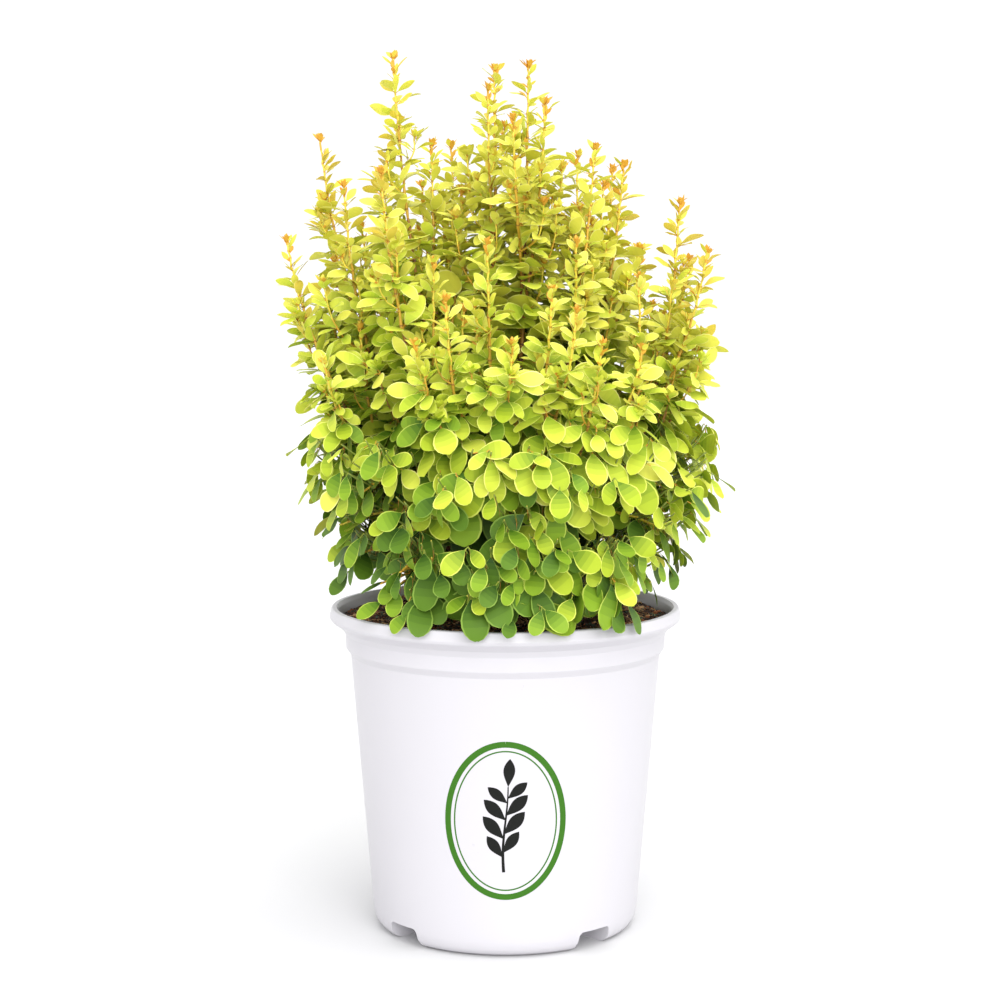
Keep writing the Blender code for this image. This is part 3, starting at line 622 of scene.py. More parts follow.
def bark(name, dark, light, scale):
    """Barberry bark: thin and dry, with splits along the limb that are darker where the relief sinks in."""
    made, tree, shader = new_material(name, Roughness=0.75)
    where = add_node(tree, "ShaderNodeTexCoord").outputs["Object"]
    drawn = add_node(tree, "ShaderNodeMapping", {"Vector": where, "Scale": (1, 1, 0.18)})
    values = {"Vector": drawn.outputs["Vector"], "Scale": scale, "Detail": 5.0}
    splits = add_node(tree, "ShaderNodeTexNoise", values)
    tone = add_node(tree, "ShaderNodeValToRGB", {"Fac": splits.outputs["Fac"]})
    tone.color_ramp.elements[0].position = 0.35
    tone.color_ramp.elements[0].color = (*linear(dark), 1)
    tone.color_ramp.elements[1].position = 0.65
    tone.color_ramp.elements[1].color = (*linear(light), 1)
    tree.links.new(tone.outputs["Color"], shader.inputs["Base Color"])
    add_relief(tree, shader, splits.outputs["Fac"], 0.6, 0.4 * MM)
    return made


outline = [(MM * radius, STEM_BASE + share * STEM_HEIGHT) for radius, share in STEM_OUTLINE]
foot_bm = turned([(0, STEM_BASE), *outline, (0, STEM_BASE + STEM_HEIGHT)], STEM_SIDES)
bmesh.ops.subdivide_edges(
    foot_bm,
    edges=[e for e in foot_bm.edges if abs(e.verts[0].co.z - e.verts[1].co.z) > 1.5 * MM],
    cuts=2,
    use_grid_fill=True,
)
foot_bm.normal_update()
for vert in foot_bm.verts:
    if vert.co.z > STEM_BASE + 0.5 * MM:
        split = noise.noise(Vector((vert.co.x / (3 * MM), vert.co.y / (3 * MM), vert.co.z / (16 * MM))))
        vert.co += vert.normal * BARK_SPLITS * (split - 0.5)
stem_foot = shaped("woody_foot", foot_bm, bark("old_barberry_bark", "#2E1D14", "#6E5240", 700.0))
stem_foot.data.shade_smooth()
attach(stem_foot, "root")
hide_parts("stem_foot")

# Canes: one for each upright clump, grown out of the foot and leaning out before they turn upright. Their
# bark is reddish brown and warted. They stand in rings on the foot, those that lean least in the middle.
CANE_RINGS = ((3, 3.0 * MM), (7, 8.4 * MM), (99, 13.9 * MM))
CANE_RADIUS = 2.1 * MM
CANE_END_RADIUS = 1.75 * MM
CANE_ROOM = 1.05
SPREAD_ROUNDS = 400
CANE_STEP = 1.6 * MM
CANE_SIDES = 12
CANE_SUNK = 2 * MM
CANE_WARTS = 0.16
CANE_WART_SIZE = 1.3 * MM
CURVE_STEPS = 16
# How far a limb's two control points lie in from its ends, as shares of its reach and of its rise
CANE_LEAN = (0.45, 0.22)
CANE_UPRIGHT = (0.12, 0.42)
FORK_HEADING = 0.35
FORK_UPRIGHT = (0.10, 0.45)
# The shoots of each clump, by the places of their tips in mm
FRONT_CLUMPS = (
    ((-140, -10, 448), (-112, -62, 372)),
    ((-121, 25, 514), (-102, -25, 482)),
    ((-77, -55, 489),),
    ((-72, 5, 565),),
    ((-36, 55, 512), (-96, 50, 458)),
    ((-7, 15, 558), (-11, -20, 543)),
    ((15, 10, 560), (25, -20, 534), (5, -45, 522)),
    ((57, -10, 506), (48, 45, 505), (44, -50, 446)),
    ((77, 15, 497), (72, 60, 496)),
    ((128, -25, 440), (112, -5, 472), (84, -42, 424)),
    ((-36, -105, 411), (-54, -95, 384)),
    ((-11, -80, 445), (4, -130, 385)),
    ((28, -95, 416), (42, -115, 404)),
    ((57, -120, 385), (83, -90, 381)),
)
BACK_CLUMPS = 7
BACK_FROM = math.radians(20)
BACK_TO = math.radians(160)
BACK_FAR = (126, 436)
BACK_NEAR = (84, 486)
BACK_ASIDE = math.radians(10)
BACK_SECOND_REACH = 0.86
BACK_SECOND_DROP = 30
OUTER_START = 262 * MM
INNER_START = 335 * MM
INNER_REACH = 62 * MM
FORK_FROM = 0.12
FORK_NEXT = 0.10
LOW_TWIG_FROM = 0.03
LOW_TWIG_NEXT = 0.07
LOW_TWIG_OUTER = 60 * MM
LOW_TWIG_ASIDE = math.radians(17)
LOW_TWIG_REACH = 112 * MM
LOW_TWIG_HEIGHTS = (268 * MM, 314 * MM, 290 * MM)
LOW_TWIG_ROOM = 9 * MM
INNER_TWIG_OUTER = 70 * MM
INNER_TWIG_ASIDE = math.radians(10)
# Where each inner twig leaves its cane, how far out its tip is as a share of the clump's, and how much lower
INNER_TWIGS = ((0.05, 0.68, 55 * MM), (0.12, 0.4, 85 * MM))
SPOTS = 60


def around(radius, turn, height):
    """The point at that height, that far from the middle in that direction."""
    return Vector((radius * math.cos(turn), radius * math.sin(turn), height))


def bezier(p0, p1, p2, p3):
    """Points along a curve from p0 to p3, drawn by the two between."""
    points = []
    for i in range(CURVE_STEPS + 1):
        t = i / CURVE_STEPS
        s = 1 - t
        points.append(s**3 * p0 + 3 * s * s * t * p1 + 3 * s * t * t * p2 + t**3 * p3)
    return points


def shares(away, reach, rise):
    """A part of a way: its level part and its rise, each by its own share."""
    return Vector((reach * away.x, reach * away.y, rise * away.z))


def cane_path(foot, tip):
    """A cane leans out from the foot of the plant and then turns upright to its tip."""
    away = tip - foot
    return bezier(foot, foot + shares(away, *CANE_LEAN), tip - shares(away, *CANE_UPRIGHT), tip)


def fork_path(start, heading, tip):
    """A side shoot leaves its parent along the parent's heading and turns upright to its tip."""
    away = tip - start
    lower = start + FORK_HEADING * away.length * heading
    return bezier(start, lower, tip - shares(away, *FORK_UPRIGHT), tip)


class Line:
    """A polyline with its lengths along it."""

    def __init__(self, points):
        self.points = points
        self.at = [0.0]
        for a, b in zip(points, points[1:]):
            self.at.append(self.at[-1] + (b - a).length)
        self.length = self.at[-1]

    def place(self, s):
        """The point and the heading at length s."""
        s = min(max(s, 0.0), self.length)
        i = 0
        while i < len(self.at) - 2 and self.at[i + 1] < s:
            i += 1
        a, b = self.points[i], self.points[i + 1]
        t = (s - self.at[i]) / (self.at[i + 1] - self.at[i])
        return a.lerp(b, t), (b - a).normalized()

    def at_height(self, height):
        """The length at which the line first reaches that height."""
        for i, (a, b) in enumerate(zip(self.points, self.points[1:])):
            if a.z <= height <= b.z:
                return self.at[i] + (height - a.z) / (b.z - a.z) * (self.at[i + 1] - self.at[i])
        return self.length

    def part(self, start, end, steps):
        """Points at even lengths from start to end."""
        return [self.place(start + (end - start) * i / steps)[0] for i in range(steps + 1)]


class Clump:
    """One cane, and the upright shoots of the mass that it carries."""

    def __init__(self, tips):
        self.tips = [MM * Vector(tip) for tip in tips]
        self.reach = math.hypot(self.tips[0].x, self.tips[0].y)
        self.azimuth = math.atan2(self.tips[0].y, self.tips[0].x)

    def grow(self, foot):
        """The main line from the foot to the first tip, and a fork to each other tip."""
        self.main = Line(cane_path(foot, self.tips[0]))
        self.start = self.main.at_height(INNER_START if self.reach < INNER_REACH else OUTER_START)
        self.forks = []
        for k, tip in enumerate(self.tips[1:]):
            self.forks.append(self.fork(FORK_FROM + FORK_NEXT * k, tip))
        self.keep_spots()

    def fork(self, share, tip):
        """A side shoot to tip, from that share of the way up the main line's leafy part."""
        point, heading = self.main.place(self.start + share * (self.main.length - self.start))
        return Line(fork_path(point, heading, tip))

    def grow_low_twigs(self, others):
        """An outer clump has three low twigs that lean out to fill the crown's side, where there is room."""
        if self.reach < LOW_TWIG_OUTER:
            return
        for k, aside in enumerate((-LOW_TWIG_ASIDE, LOW_TWIG_ASIDE, 0)):
            tip = around(LOW_TWIG_REACH, self.azimuth + aside, LOW_TWIG_HEIGHTS[k])
            twig = self.fork(LOW_TWIG_FROM + LOW_TWIG_NEXT * k, tip)
            spots = twig.part(0, twig.length, CURVE_STEPS)
            if all(other.distance(spot) > LOW_TWIG_ROOM for other in others for spot in spots):
                self.forks.append(twig)
        self.keep_spots()

    def grow_inner_twigs(self, aside):
        """An outer clump has two side shoots that lean in and fill the middle of the crown."""
        if self.reach > INNER_TWIG_OUTER:
            for share, inward, drop in INNER_TWIGS:
                tip = around(inward * self.reach, self.azimuth + aside, self.tips[0].z - drop)
                self.forks.append(self.fork(share, tip))
            self.keep_spots()

    def keep_spots(self):
        """Keeps points of the shoots, to find the nearest of them quickly."""
        spots = self.main.part(self.start, self.main.length, SPOTS)
        for fork in self.forks:
            spots += fork.part(0, fork.length, SPOTS)
        self.spots = KDTree(len(spots))
        for i, spot in enumerate(spots):
            self.spots.insert(spot, i)
        self.spots.balance()

    def distance(self, point):
        """How far a point is from the clump's nearest shoot."""
        return self.spots.find(point)[2]


def spread(turns, least):
    """Moves neighbouring directions on a circle apart, to at least that angle."""
    turns = list(turns)
    for _ in range(SPREAD_ROUNDS):
        for i in range(len(turns)):
            j = (i + 1) % len(turns)
            short = max(least - (turns[j] - turns[i]) % math.tau, 0) / 2
            turns[i] -= short
            turns[j] += short
    return turns


clumps = [Clump(tips) for tips in FRONT_CLUMPS]
for k in range(BACK_CLUMPS):
    turn = BACK_FROM + (BACK_TO - BACK_FROM) * k / (BACK_CLUMPS - 1)
    reach, height = BACK_NEAR if k % 2 else BACK_FAR
    first = around(reach, turn - BACK_ASIDE / 2, height)
    second = around(BACK_SECOND_REACH * reach, turn + BACK_ASIDE / 2, height - BACK_SECOND_DROP)
    clumps.append(Clump((first, second)))
left = sorted(clumps, key=lambda clump: clump.reach)
for count, radius in CANE_RINGS:
    ring = sorted(left[:count], key=lambda clump: clump.azimuth)
    left = left[count:]
    least = 2 * CANE_ROOM * math.asin((CANE_RADIUS + GAP) / radius)
    for clump, turn in zip(ring, spread([clump.azimuth for clump in ring], least)):
        clump.grow(around(radius, turn, STEM_BASE + STEM_HEIGHT + GAP))
for k, clump in enumerate(clumps):
    clump.grow_low_twigs([other for other in clumps if other is not clump])
    clump.grow_inner_twigs(INNER_TWIG_ASIDE * (-1) ** k)

canes = Heap()
for clump in clumps:
    steps = round(clump.start / CANE_STEP)
    way = clump.main.part(-CANE_SUNK, clump.start, steps)
    way[0] -= CANE_SUNK * UP
    radii = [CANE_RADIUS + (CANE_END_RADIUS - CANE_RADIUS) * i / steps for i in range(steps + 1)]
    rings, faces = tube(way, radii, CANE_SIDES)
    for i, point in enumerate(rings):
        middle = way[i // CANE_SIDES]
        lump = noise.noise(Vector((point.x, point.y, 0.5 * point.z)) / CANE_WART_SIZE)
        rings[i] = middle + (1 + CANE_WARTS * lump) * (point - middle)
    canes.add(rings, faces)
cane_piece = canes.made("canes", [bark("young_barberry_bark", "#4A2415", "#8E5A34", 900.0)])
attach(cane_piece, "root")
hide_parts(*[f"cane_{k:02d}" for k in range(1, len(clumps) + 1)])

# Shoots: this year's growth, from the canes' ends to the tips, with side shoots and short twigs. They are
# thin, ridged and a little zigzag, swollen at each node, brown below, then amber, and pale yellow at the
# tips. A fine spine stands under most nodes.
SHOOT_RADIUS = 1.3 * MM
FORK_RADIUS = 1.1 * MM
TIP_RADIUS = 0.45 * MM
TWIG_RADIUS = 0.5 * MM
SLIM = 0.8 * MM
SHOOT_RIDGE = 0.12
NODE_SWELL = 1.35
NODE_HALF = (0.5 * MM, 0.6 * MM)
ZIGZAG = 0.35 * MM
FIRST_NODE = 2.5 * MM
NODE_TURN = math.radians(137.5)
# The distance in mm from node to node, by the distance below the shoot's tip
SPACINGS = ((0, 3.6), (10, 5.4), (30, 7.4), (60, 9), (100, 11), (160, 11.5))
SPACING_SPREAD = (0.85, 1.15)
HANGING_SPACING = 7
RING_SPACING = 3.5 * MM
# The angle in degrees between a leaf and its shoot, by the distance in mm below the shoot's tip
TILTS = ((0, 26), (8, 48), (22, 64), (60, 70), (130, 84), (220, 100))
TILT_SPREAD = math.radians(10)
# A leaf's length in mm, by the distance in mm below the shoot's tip
LEAF_LENGTHS = ((0, 8), (8, 13), (20, 17.5), (38, 20), (75, 22.5), (110, 27), (150, 36))
LEAF_SPREAD = (0.84, 1.12)
OLD_TUFT = (0.72, 1.0)
YOUNG_TUFT = (0.5, 0.85)
LEAF_FULL_AT = 90 * MM
# How far a leaf's upper side faces away from its shoot, and up
LEAF_FACING = (0.35, 0.25)
FACING_FROM = 450 * MM
FACING_OVER = 100 * MM
OUTFACING = 0.45
# Leaves whose middles would lie nearer than this share of their length are left out: standing, and hanging
APART = (0.215, 0.5)
# How much nearer they may lie in the lowest foliage at the front, and how much larger the leaves there are
SPILL_CLOSER = 0.22
SPILL_LARGER = 0.22
NEAR = 19 * MM
OUTER_FAN = 0.74
HANG_FAN = 0.5
HANG_FROM = 375 * MM
HANG_OVER = 80 * MM
HANG_ANGLE = math.radians(48)
HANG_SPREAD = math.radians(18)
# How much steeper than that a hanging leaf lies at its first try, and at the next ones if it finds no room
HANG_TRIES = (0.25, -0.1, -0.45)
HANG_TURN = 0.45
HANGING_TIP = (17, 26)
BUD_LEAVES = 9
LOW_HANG = math.radians(12)
LOW_HANG_FROM = 262 * MM
LOW_HANG_OVER = 20 * MM
FRONT_HANG = math.radians(18)
BROAD_FROM = 370 * MM
BROAD_OVER = 120 * MM
BROAD_AGE = (55 * MM, 150 * MM)
# The length in mm of a twig by its distance below the shoot's tip
TWIG_LENGTHS = ((48, 14), (80, 34), (105, 52), (140, 70), (180, 84), (240, 86))
TWIG_SPREAD = (0.6, 1.1)
TWIG_SHORTEST = 6 * MM
TWIGS_BELOW = 48 * MM
TWIG_EVERY = 2
LOW_TWIGS_BELOW = 325 * MM
SHADED_TWIGS_BELOW = 330 * MM
# How far a twig goes out and how far it rises, as shares of its length: a standing one and a hanging one
TWIG_OUT = (0.45, 0.55)
TWIG_UP = (0.82, 0.75)
TWIG_ASIDE = 27 * MM
TWIG_AGE = 0.16
HANGING_TWIG = 40
HANGING_AGE = 110 * MM
TWIG_DROOP = -0.3
DROOPING_OUTSIDE = 92 * MM
DROOPING_BELOW = 252 * MM
BARE = 0.27
BARE_BELOW = 335 * MM
SHADED = 0.36
SHADED_BELOW = 385 * MM
SPINE_SHARE = 0.6
SPINE_BELOW = 12 * MM
SPINE_LENGTH = (4.5 * MM, 8 * MM)
SPINE_RADIUS = 0.22 * MM
# How far the tips of the leaves may reach from the middle of the plant, by their height, in mm
CROWN_EDGE = (
    (205, 120),
    (231, 112),
    (260, 117),
    (280, 125),
    (301, 136),
    (350, 143),
    (390, 148),
    (420, 154),
    (445, 146),
    (475, 128),
    (505, 124),
    (540, 94),
    (575, 84),
)
# How far leaves and twigs may lie from their clump's shoots, and how low
OWN_REACH = 48 * MM
CROWN_FOOT = 218 * MM
# The low part of the crown stands this far to the right of the pot's middle, by its height, in mm
CROWN_SHIFT = ((215, 3), (266, 6), (290, 7), (345, 0))
# Stem tints from the oldest wood out to the tips, and last that of the hanging twigs:
# a darker green, partly their own and partly painted shade
STEM_TINTS = (
    ("brown_barberry_shoot", "#5E3A22"),
    ("amber_barberry_shoot", "#A5742F"),
    ("golden_barberry_shoot", "#D3A838"),
    ("yellow_barberry_shoot", "#E6D24A"),
    ("green_shaded_barberry_shoot", "#7C8A36"),
)
# How far below the tip in mm the second, third and fourth tint start
STEM_TINTS_BELOW = (190, 105, 42)


def by_table(table, value):
    """The second number at a value of the first, read off a table of pairs with straight lines between."""
    for (low, at_low), (high, at_high) in zip(table, table[1:]):
        if value <= high:
            return at_low + (at_high - at_low) * max(value - low, 0) / (high - low)
    return table[-1][1]


def level_way(point):
    """The level direction from the middle of the plant to a point."""
    return Vector((point.x, point.y, 0)).normalized()


def hanging(point):
    """How much the foliage hangs at a point: from 0 high in the crown to 1 low down."""
    return clamp((HANG_FROM - point.z) / HANG_OVER)


def outwardness(point):
    """How far a point lies from the crown's middle line, as a share of the crown's edge at its height."""
    reach = math.hypot(point.x / MM - by_table(CROWN_SHIFT, point.z / MM), point.y / MM)
    return reach / by_table(CROWN_EDGE, point.z / MM)


class Leaf:
    """Where a leaf grows and how it lies: its root, direction, the side it shows, its length and its age."""

    def __init__(self, root, along, facing, length, below, spray):
        self.root, self.along, self.facing, self.length = root, along.normalized(), facing, length
        self.below, self.spray = below, spray


class Growth:
    """The stems, spines and leaves of a group of shoots. taken holds the leaves' middles by their cells."""

    def __init__(self, seed, taken):
        self.chance = random.Random(seed)
        self.taken = taken
        self.stems = Heap()
        self.spines = Heap()
        self.leaves = []
        self.sprays = 0

    def crowded(self, middle, apart):
        """Whether a leaf's middle lies too near to another's. If not, it is kept."""
        cell = [math.floor(value / NEAR) for value in middle]
        for i, j, k in itertools.product((-1, 0, 1), repeat=3):
            for other in self.taken.get((cell[0] + i, cell[1] + j, cell[2] + k), ()):
                if (other - middle).length < apart:
                    return True
        self.taken.setdefault(tuple(cell), []).append(middle)
        return False

    def shoot(self, line, start, radius, room, twigs=True, old=0.0):
        """A shoot with its nodes, from start to the line's end. old is how far below a tip its end counts."""
        chance = self.chance
        turn = chance.uniform(0, math.tau)
        below = FIRST_NODE
        nodes = []
        count = 0
        while line.length - below > start:
            nodes.append((line.length - below, below + old, turn))
            low = line.place(line.length - below)[0].z < LOW_TWIGS_BELOW
            with_twig = twigs and (low or count % TWIG_EVERY == 0)
            self.node(line, line.length - below, below + old, turn, room, with_twig)
            turn += NODE_TURN
            count += 1
            far = by_table(SPACINGS, (below + old) / MM)
            if line.place(line.length - below)[0].z < HANG_FROM - HANG_OVER:
                far = min(far, HANGING_SPACING)
            below += MM * far * chance.uniform(*SPACING_SPREAD)
        self.stem(line, start, radius, nodes, old)
        self.tip(line, old)

    def stem(self, line, start, radius, nodes, old):
        """The shoot's stem: rings between the nodes and swollen rings at them, each stretch in its tint."""
        slim = radius < SLIM
        along = [(start, False, 0.0)]
        for s, _, turn in reversed(nodes):
            if s - along[-1][0] > RING_SPACING:
                along.append(((s + along[-1][0]) / 2, False, 0.0))
            along.append((s - NODE_HALF[0], True, turn))
            if not slim:
                along.append((s + NODE_HALF[1], True, turn))
        along.append((line.length - 0.3 * MM, False, 0.0))
        points, radii, slots = [], [], []
        sides = 4 if slim else 6
        for i, (s, at_node, turn) in enumerate(along):
            point, heading = line.place(s)
            if at_node:
                point = point + ZIGZAG * (Quaternion(heading, turn) @ heading.orthogonal().normalized())
            points.append(point)
            share = (s - start) / (line.length - start)
            thick = radius + (TIP_RADIUS - radius) * share
            radii.append(thick * (NODE_SWELL if at_node else 1.0))
            below = (line.length - s + old) / MM
            tint = sum(below < far for far in STEM_TINTS_BELOW)
            # Thin twigs low in the crown take the darker green: partly their own, partly painted shade
            if slim and point.z < SHADED_TWIGS_BELOW:
                tint = len(STEM_TINTS) - 1
            swollen = at_node and i + 1 < len(along) and along[i + 1][1]
            slots += [max(tint - 1, 0) if swollen and not slim else tint] * sides
        rings, faces = tube(points, radii, sides, ridge=SHOOT_RIDGE)
        self.stems.add(rings, faces, [*slots[: len(faces) - 2], 0, len(STEM_TINTS_BELOW)])

    def node(self, line, s, below, turn, room, with_twig):
        """A leaf, the tuft in its axil, a spine and sometimes a twig, by the rule that all shoots follow."""
        chance = self.chance
        point, heading = line.place(s)
        outward = level_way(point)
        at_front = max(-outward.y, 0.0)
        across = (outward - heading * outward.dot(heading)).normalized()
        deep = outwardness(point)
        if deep < BARE and point.z < BARE_BELOW:
            return
        grown = min(below / LEAF_FULL_AT, 1.0)
        hang = hanging(point)
        outfacing = max(hang, OUTFACING * clamp((FACING_FROM - point.z) / FACING_OVER))
        low = clamp((BROAD_FROM - point.z) / BROAD_OVER)
        age = max(below, BROAD_AGE[0] + (BROAD_AGE[1] - BROAD_AGE[0]) * low) if low > 0 else below
        apart = APART[0] + (APART[1] - APART[0]) * hang
        lowest = clamp((LOW_HANG_FROM - point.z) / LOW_HANG_OVER)
        apart -= SPILL_CLOSER * lowest * at_front**4
        fan = 1 - max((1 - OUTER_FAN) * grown**2, (1 - HANG_FAN) * hang)
        side_turn = fan * math.remainder(turn, math.tau)
        length = MM * by_table(LEAF_LENGTHS, age / MM) * chance.uniform(*LEAF_SPREAD)
        length *= 1 + SPILL_LARGER * lowest * at_front**2
        self.sprays += 1
        spray = self.sprays
        to_side, to_sky = LEAF_FACING

        def direction(more_turn, more_tilt, steeper=0.0):
            side = Quaternion(heading, side_turn + more_turn) @ across
            tilt = math.radians(by_table(TILTS, below / MM)) + more_tilt
            down = HANG_ANGLE + 0.5 * more_tilt + steeper + chance.uniform(-HANG_SPREAD, HANG_SPREAD)
            down += LOW_HANG * lowest
            down += FRONT_HANG * at_front**2
            standing = math.cos(tilt) * heading + math.sin(tilt) * side
            level = Quaternion(UP, HANG_TURN * side_turn + 0.7 * more_turn) @ outward
            drooping = math.cos(down) * level - math.sin(down) * UP
            return standing.lerp(drooping, hang).normalized(), side

        def leaf(more_turn, more_tilt, size, lower):
            root = line.place(s - lower)[0]
            for steeper in HANG_TRIES:
                tilt = more_tilt + chance.uniform(-TILT_SPREAD, TILT_SPREAD)
                along, side = direction(more_turn, tilt, steeper)
                middle = root + 0.6 * size * length * along
                if room(root + size * length * along) and not self.crowded(middle, apart * size * length):
                    standing = heading + to_side * side + to_sky * UP
                    facing = standing.lerp(outward + 0.4 * UP, outfacing)
                    self.leaves.append(Leaf(root, along, facing, size * length, age, spray))
                    return

        leaf(0.0, 0.0, 1.0, 0.0)
        tuft = 2 if hang > 0.5 or below < 14 * MM else 3
        for k in range(tuft):
            swing = (0.75 + 0.35 * k) * (1 if (k + spray) % 2 else -1) + chance.uniform(-0.25, 0.25)
            size = chance.uniform(*(OLD_TUFT if grown > 0.5 or hang > 0.5 else YOUNG_TUFT))
            leaf(swing, chance.uniform(-0.6, 0.1), size, chance.uniform(0.5, 3.5) * MM)
        if below > SPINE_BELOW and chance.random() < SPINE_SHARE:
            along, side = direction(0.3, 0.35)
            long = chance.uniform(*SPINE_LENGTH)
            tip = point + long * along
            self.spines.add(*tube([point, tip], [SPINE_RADIUS, 0.15 * SPINE_RADIUS], 3))
        shaded = deep < SHADED and point.z < SHADED_BELOW
        if with_twig and below > TWIGS_BELOW * (1 - hang) and not shaded:
            along, side = direction(chance.uniform(-0.5, 0.5), -0.35)
            level = level_way(along)
            rise = (heading + UP).normalized()
            if DROOPING_OUTSIDE < math.hypot(point.x, point.y) and point.z < DROOPING_BELOW:
                rise = TWIG_DROOP * UP + 0.6 * level
            full = (1 - hang) * by_table(TWIG_LENGTHS, below / MM) + hang * HANGING_TWIG
            long = MM * full * chance.uniform(*TWIG_SPREAD)
            out_share = TWIG_OUT[0] + (TWIG_OUT[1] - TWIG_OUT[0]) * hang
            up_share = TWIG_UP[0] + (TWIG_UP[1] - TWIG_UP[0]) * hang
            aside = min(out_share * long, TWIG_ASIDE) * level
            end = point + aside + up_share * long * rise
            while long > TWIG_SHORTEST and not room(end + 8 * MM * level):
                long *= 0.8
                aside = min(out_share * long, TWIG_ASIDE) * level
                end = point + aside + up_share * long * rise
            if long > TWIG_SHORTEST:
                lower = point + 0.8 * aside + 0.1 * long * rise
                twig = Line(bezier(point, lower, end - 0.45 * long * rise, end))
                self.shoot(twig, 0.0, TWIG_RADIUS, room, False, TWIG_AGE * below + HANGING_AGE * hang)

    def tip(self, line, old):
        """The end of a shoot: small leaves folded round the bud, or a few broad ones where the twig hangs."""
        chance = self.chance
        point, heading = line.place(line.length)
        self.sprays += 1
        if hanging(point) > 0.5:
            outward = level_way(point)
            for k in (-1, 1):
                level = Quaternion(UP, 0.6 * k + chance.uniform(-0.4, 0.4)) @ outward
                down = HANG_ANGLE + chance.uniform(-0.45, 0.3)
                along = math.cos(down) * level - math.sin(down) * UP
                length = MM * chance.uniform(*HANGING_TIP)
                facing = outward + 0.4 * UP
                if not self.crowded(point + 0.6 * length * along, APART[1] * length):
                    self.leaves.append(Leaf(point, along, facing, length, max(old, 80 * MM), self.sprays))
            return
        across = heading.orthogonal().normalized()
        for k in range(BUD_LEAVES):
            side = Quaternion(heading, 2.4 * k) @ across
            tilt = math.radians(8 + 5 * k)
            along = math.cos(tilt) * heading + math.sin(tilt) * side
            length = MM * (4.2 + 0.55 * k + 0.03 * old / MM) * chance.uniform(0.85, 1.15)
            root = point - 0.3 * k * MM * heading
            self.leaves.append(Leaf(root, along, heading + 0.9 * UP - side, length, old, self.sprays))


def own_room(clump):
    """A test for what lies within the crown's edge, near to a clump's shoots and clear of the pot and mix."""

    def holds(point):
        return clump.distance(point) < OWN_REACH and outwardness(point) < 1 and point.z > CROWN_FOOT

    return holds


crown = Growth(21, {})
for clump in clumps:
    room = own_room(clump)
    crown.shoot(clump.main, clump.start - 1 * MM, SHOOT_RADIUS, room)
    for fork in clump.forks:
        crown.shoot(fork, 0.0, FORK_RADIUS, room)
foliage_nodes = [f"foliage_{k:02d}" for k in range(1, len(clumps) + 1)]
# Green wood of one summer: smooth and waxy, paler and yellower towards the tips
shoot_finishes = [new_material(name, Base_Color=linear(tint), Roughness=0.5)[0] for name, tint in STEM_TINTS]
shoot_piece = crown.stems.made("crown_shoots", shoot_finishes)
spine_finish = new_material("barberry_spine", Base_Color=linear("#B4762E"), Roughness=0.45)[0]
spine_piece = crown.spines.made("crown_spines", [spine_finish])
for piece in (shoot_piece, spine_piece):
    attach(piece, "root")
    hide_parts(*foliage_nodes)

# Leaves: spoon-shaped on a short stalk, thin and smooth, with a fold along the midrib. Their pale edge is
# partly the margin's paler tone and partly painted highlight. They are small, narrow and golden at the tips,
# and broader, flatter and greener the lower and deeper they grow, deep inside with darker tints: painted
# shade.
# Rows across a leaf: the place along it, and its half width there when grown and when young, as shares
LEAF_ROWS = (
    (0, 0.03, 0.04),
    (0.14, 0.06, 0.08),
    (0.27, 0.42, 0.48),
    (0.42, 0.78, 0.82),
    (0.57, 0.97, 1.0),
    (0.72, 0.98, 0.88),
    (0.86, 0.8, 0.58),
    (0.955, 0.48, 0.26),
    (1.0, 0.12, 0.03),
)
# How much of its foot's darker tint, painted shade from the leaf above, each row of the blade has, from the
# foot up, and how many rows there are
FOOT_SHADE_SHARES = (1, 0.76, 0.48, 0.22)
LEAF_COLUMNS = (-1, -0.88, 0, 0.88, 1)
LEAF_GROWN_AT = 110 * MM
# A leaf's width as a share of its length when young, and how much wider it is when grown
LEAF_WIDTH = (0.4, 0.155)
LEAF_TWIST = 0.42
BUD_ROWS = ((0, 0.1, 0.1), (0.3, 0.6, 0.6), (0.55, 1.0, 1.0), (0.8, 0.75, 0.7), (1.0, 0.05, 0.05))
BUD_COLUMNS = (-1, 0, 1)
BUD_BELOW = 9.5 * MM
# Leaves keep clear of the pot's lip and of the mix
LIP_REACH = 116 * MM
LIP_INSIDE = 101 * MM
LIP_TOP = 212 * MM
SOIL_CLEAR = 209 * MM
STALK = 0.3 * MM
# Blade tints from the painted shade of the inside out to the tips, each with the darker tint of its foot,
# painted shade from the leaf above, and the pale tint of its edge, partly painted highlight
LEAF_TINTS = (
    ("shaded_leaf", "#385618", "#2A4412", "#527028", "green_leaf_stalk"),
    ("green_leaf", "#587A20", "#305016", "#7C9A3C", "green_leaf_stalk"),
    ("fresh_green_leaf", "#80A026", "#466C18", "#ACC04C", "green_leaf_stalk"),
    ("lime_leaf", "#A7BA2E", "#62821F", "#CCD65A", "green_leaf_stalk"),
    ("yellow_green_leaf", "#C5D141", "#8FAA30", "#DEE470", "amber_leaf_stalk"),
    ("chartreuse_leaf", "#D9E053", "#B8CA44", "#EAE886", "amber_leaf_stalk"),
    ("yellow_leaf", "#E2DF5A", "#CED252", "#EEEA8E", "amber_leaf_stalk"),
    ("golden_leaf", "#DFCA54", "#D1C44E", "#EBDD82", "amber_leaf_stalk"),
    ("orange_gold_leaf", "#DEAA42", "#DBB847", "#ECCC66", "amber_leaf_stalk"),
)
STALK_TINTS = {"green_leaf_stalk": "#8C9A3A", "amber_leaf_stalk": "#CF9A3A"}
# The foliage is yellower to the right, painted light, and greener and darker low on the left, painted shade.
# A few low leaves at the sides are yellow.
LIT_SIDE = 80 * MM
RIPE_FROM = 215
RIPE_OVER = 270
TURNED_LUCK = 1.5
TURNED_ASIDE = 92 * MM
TURNED_TINT = 6


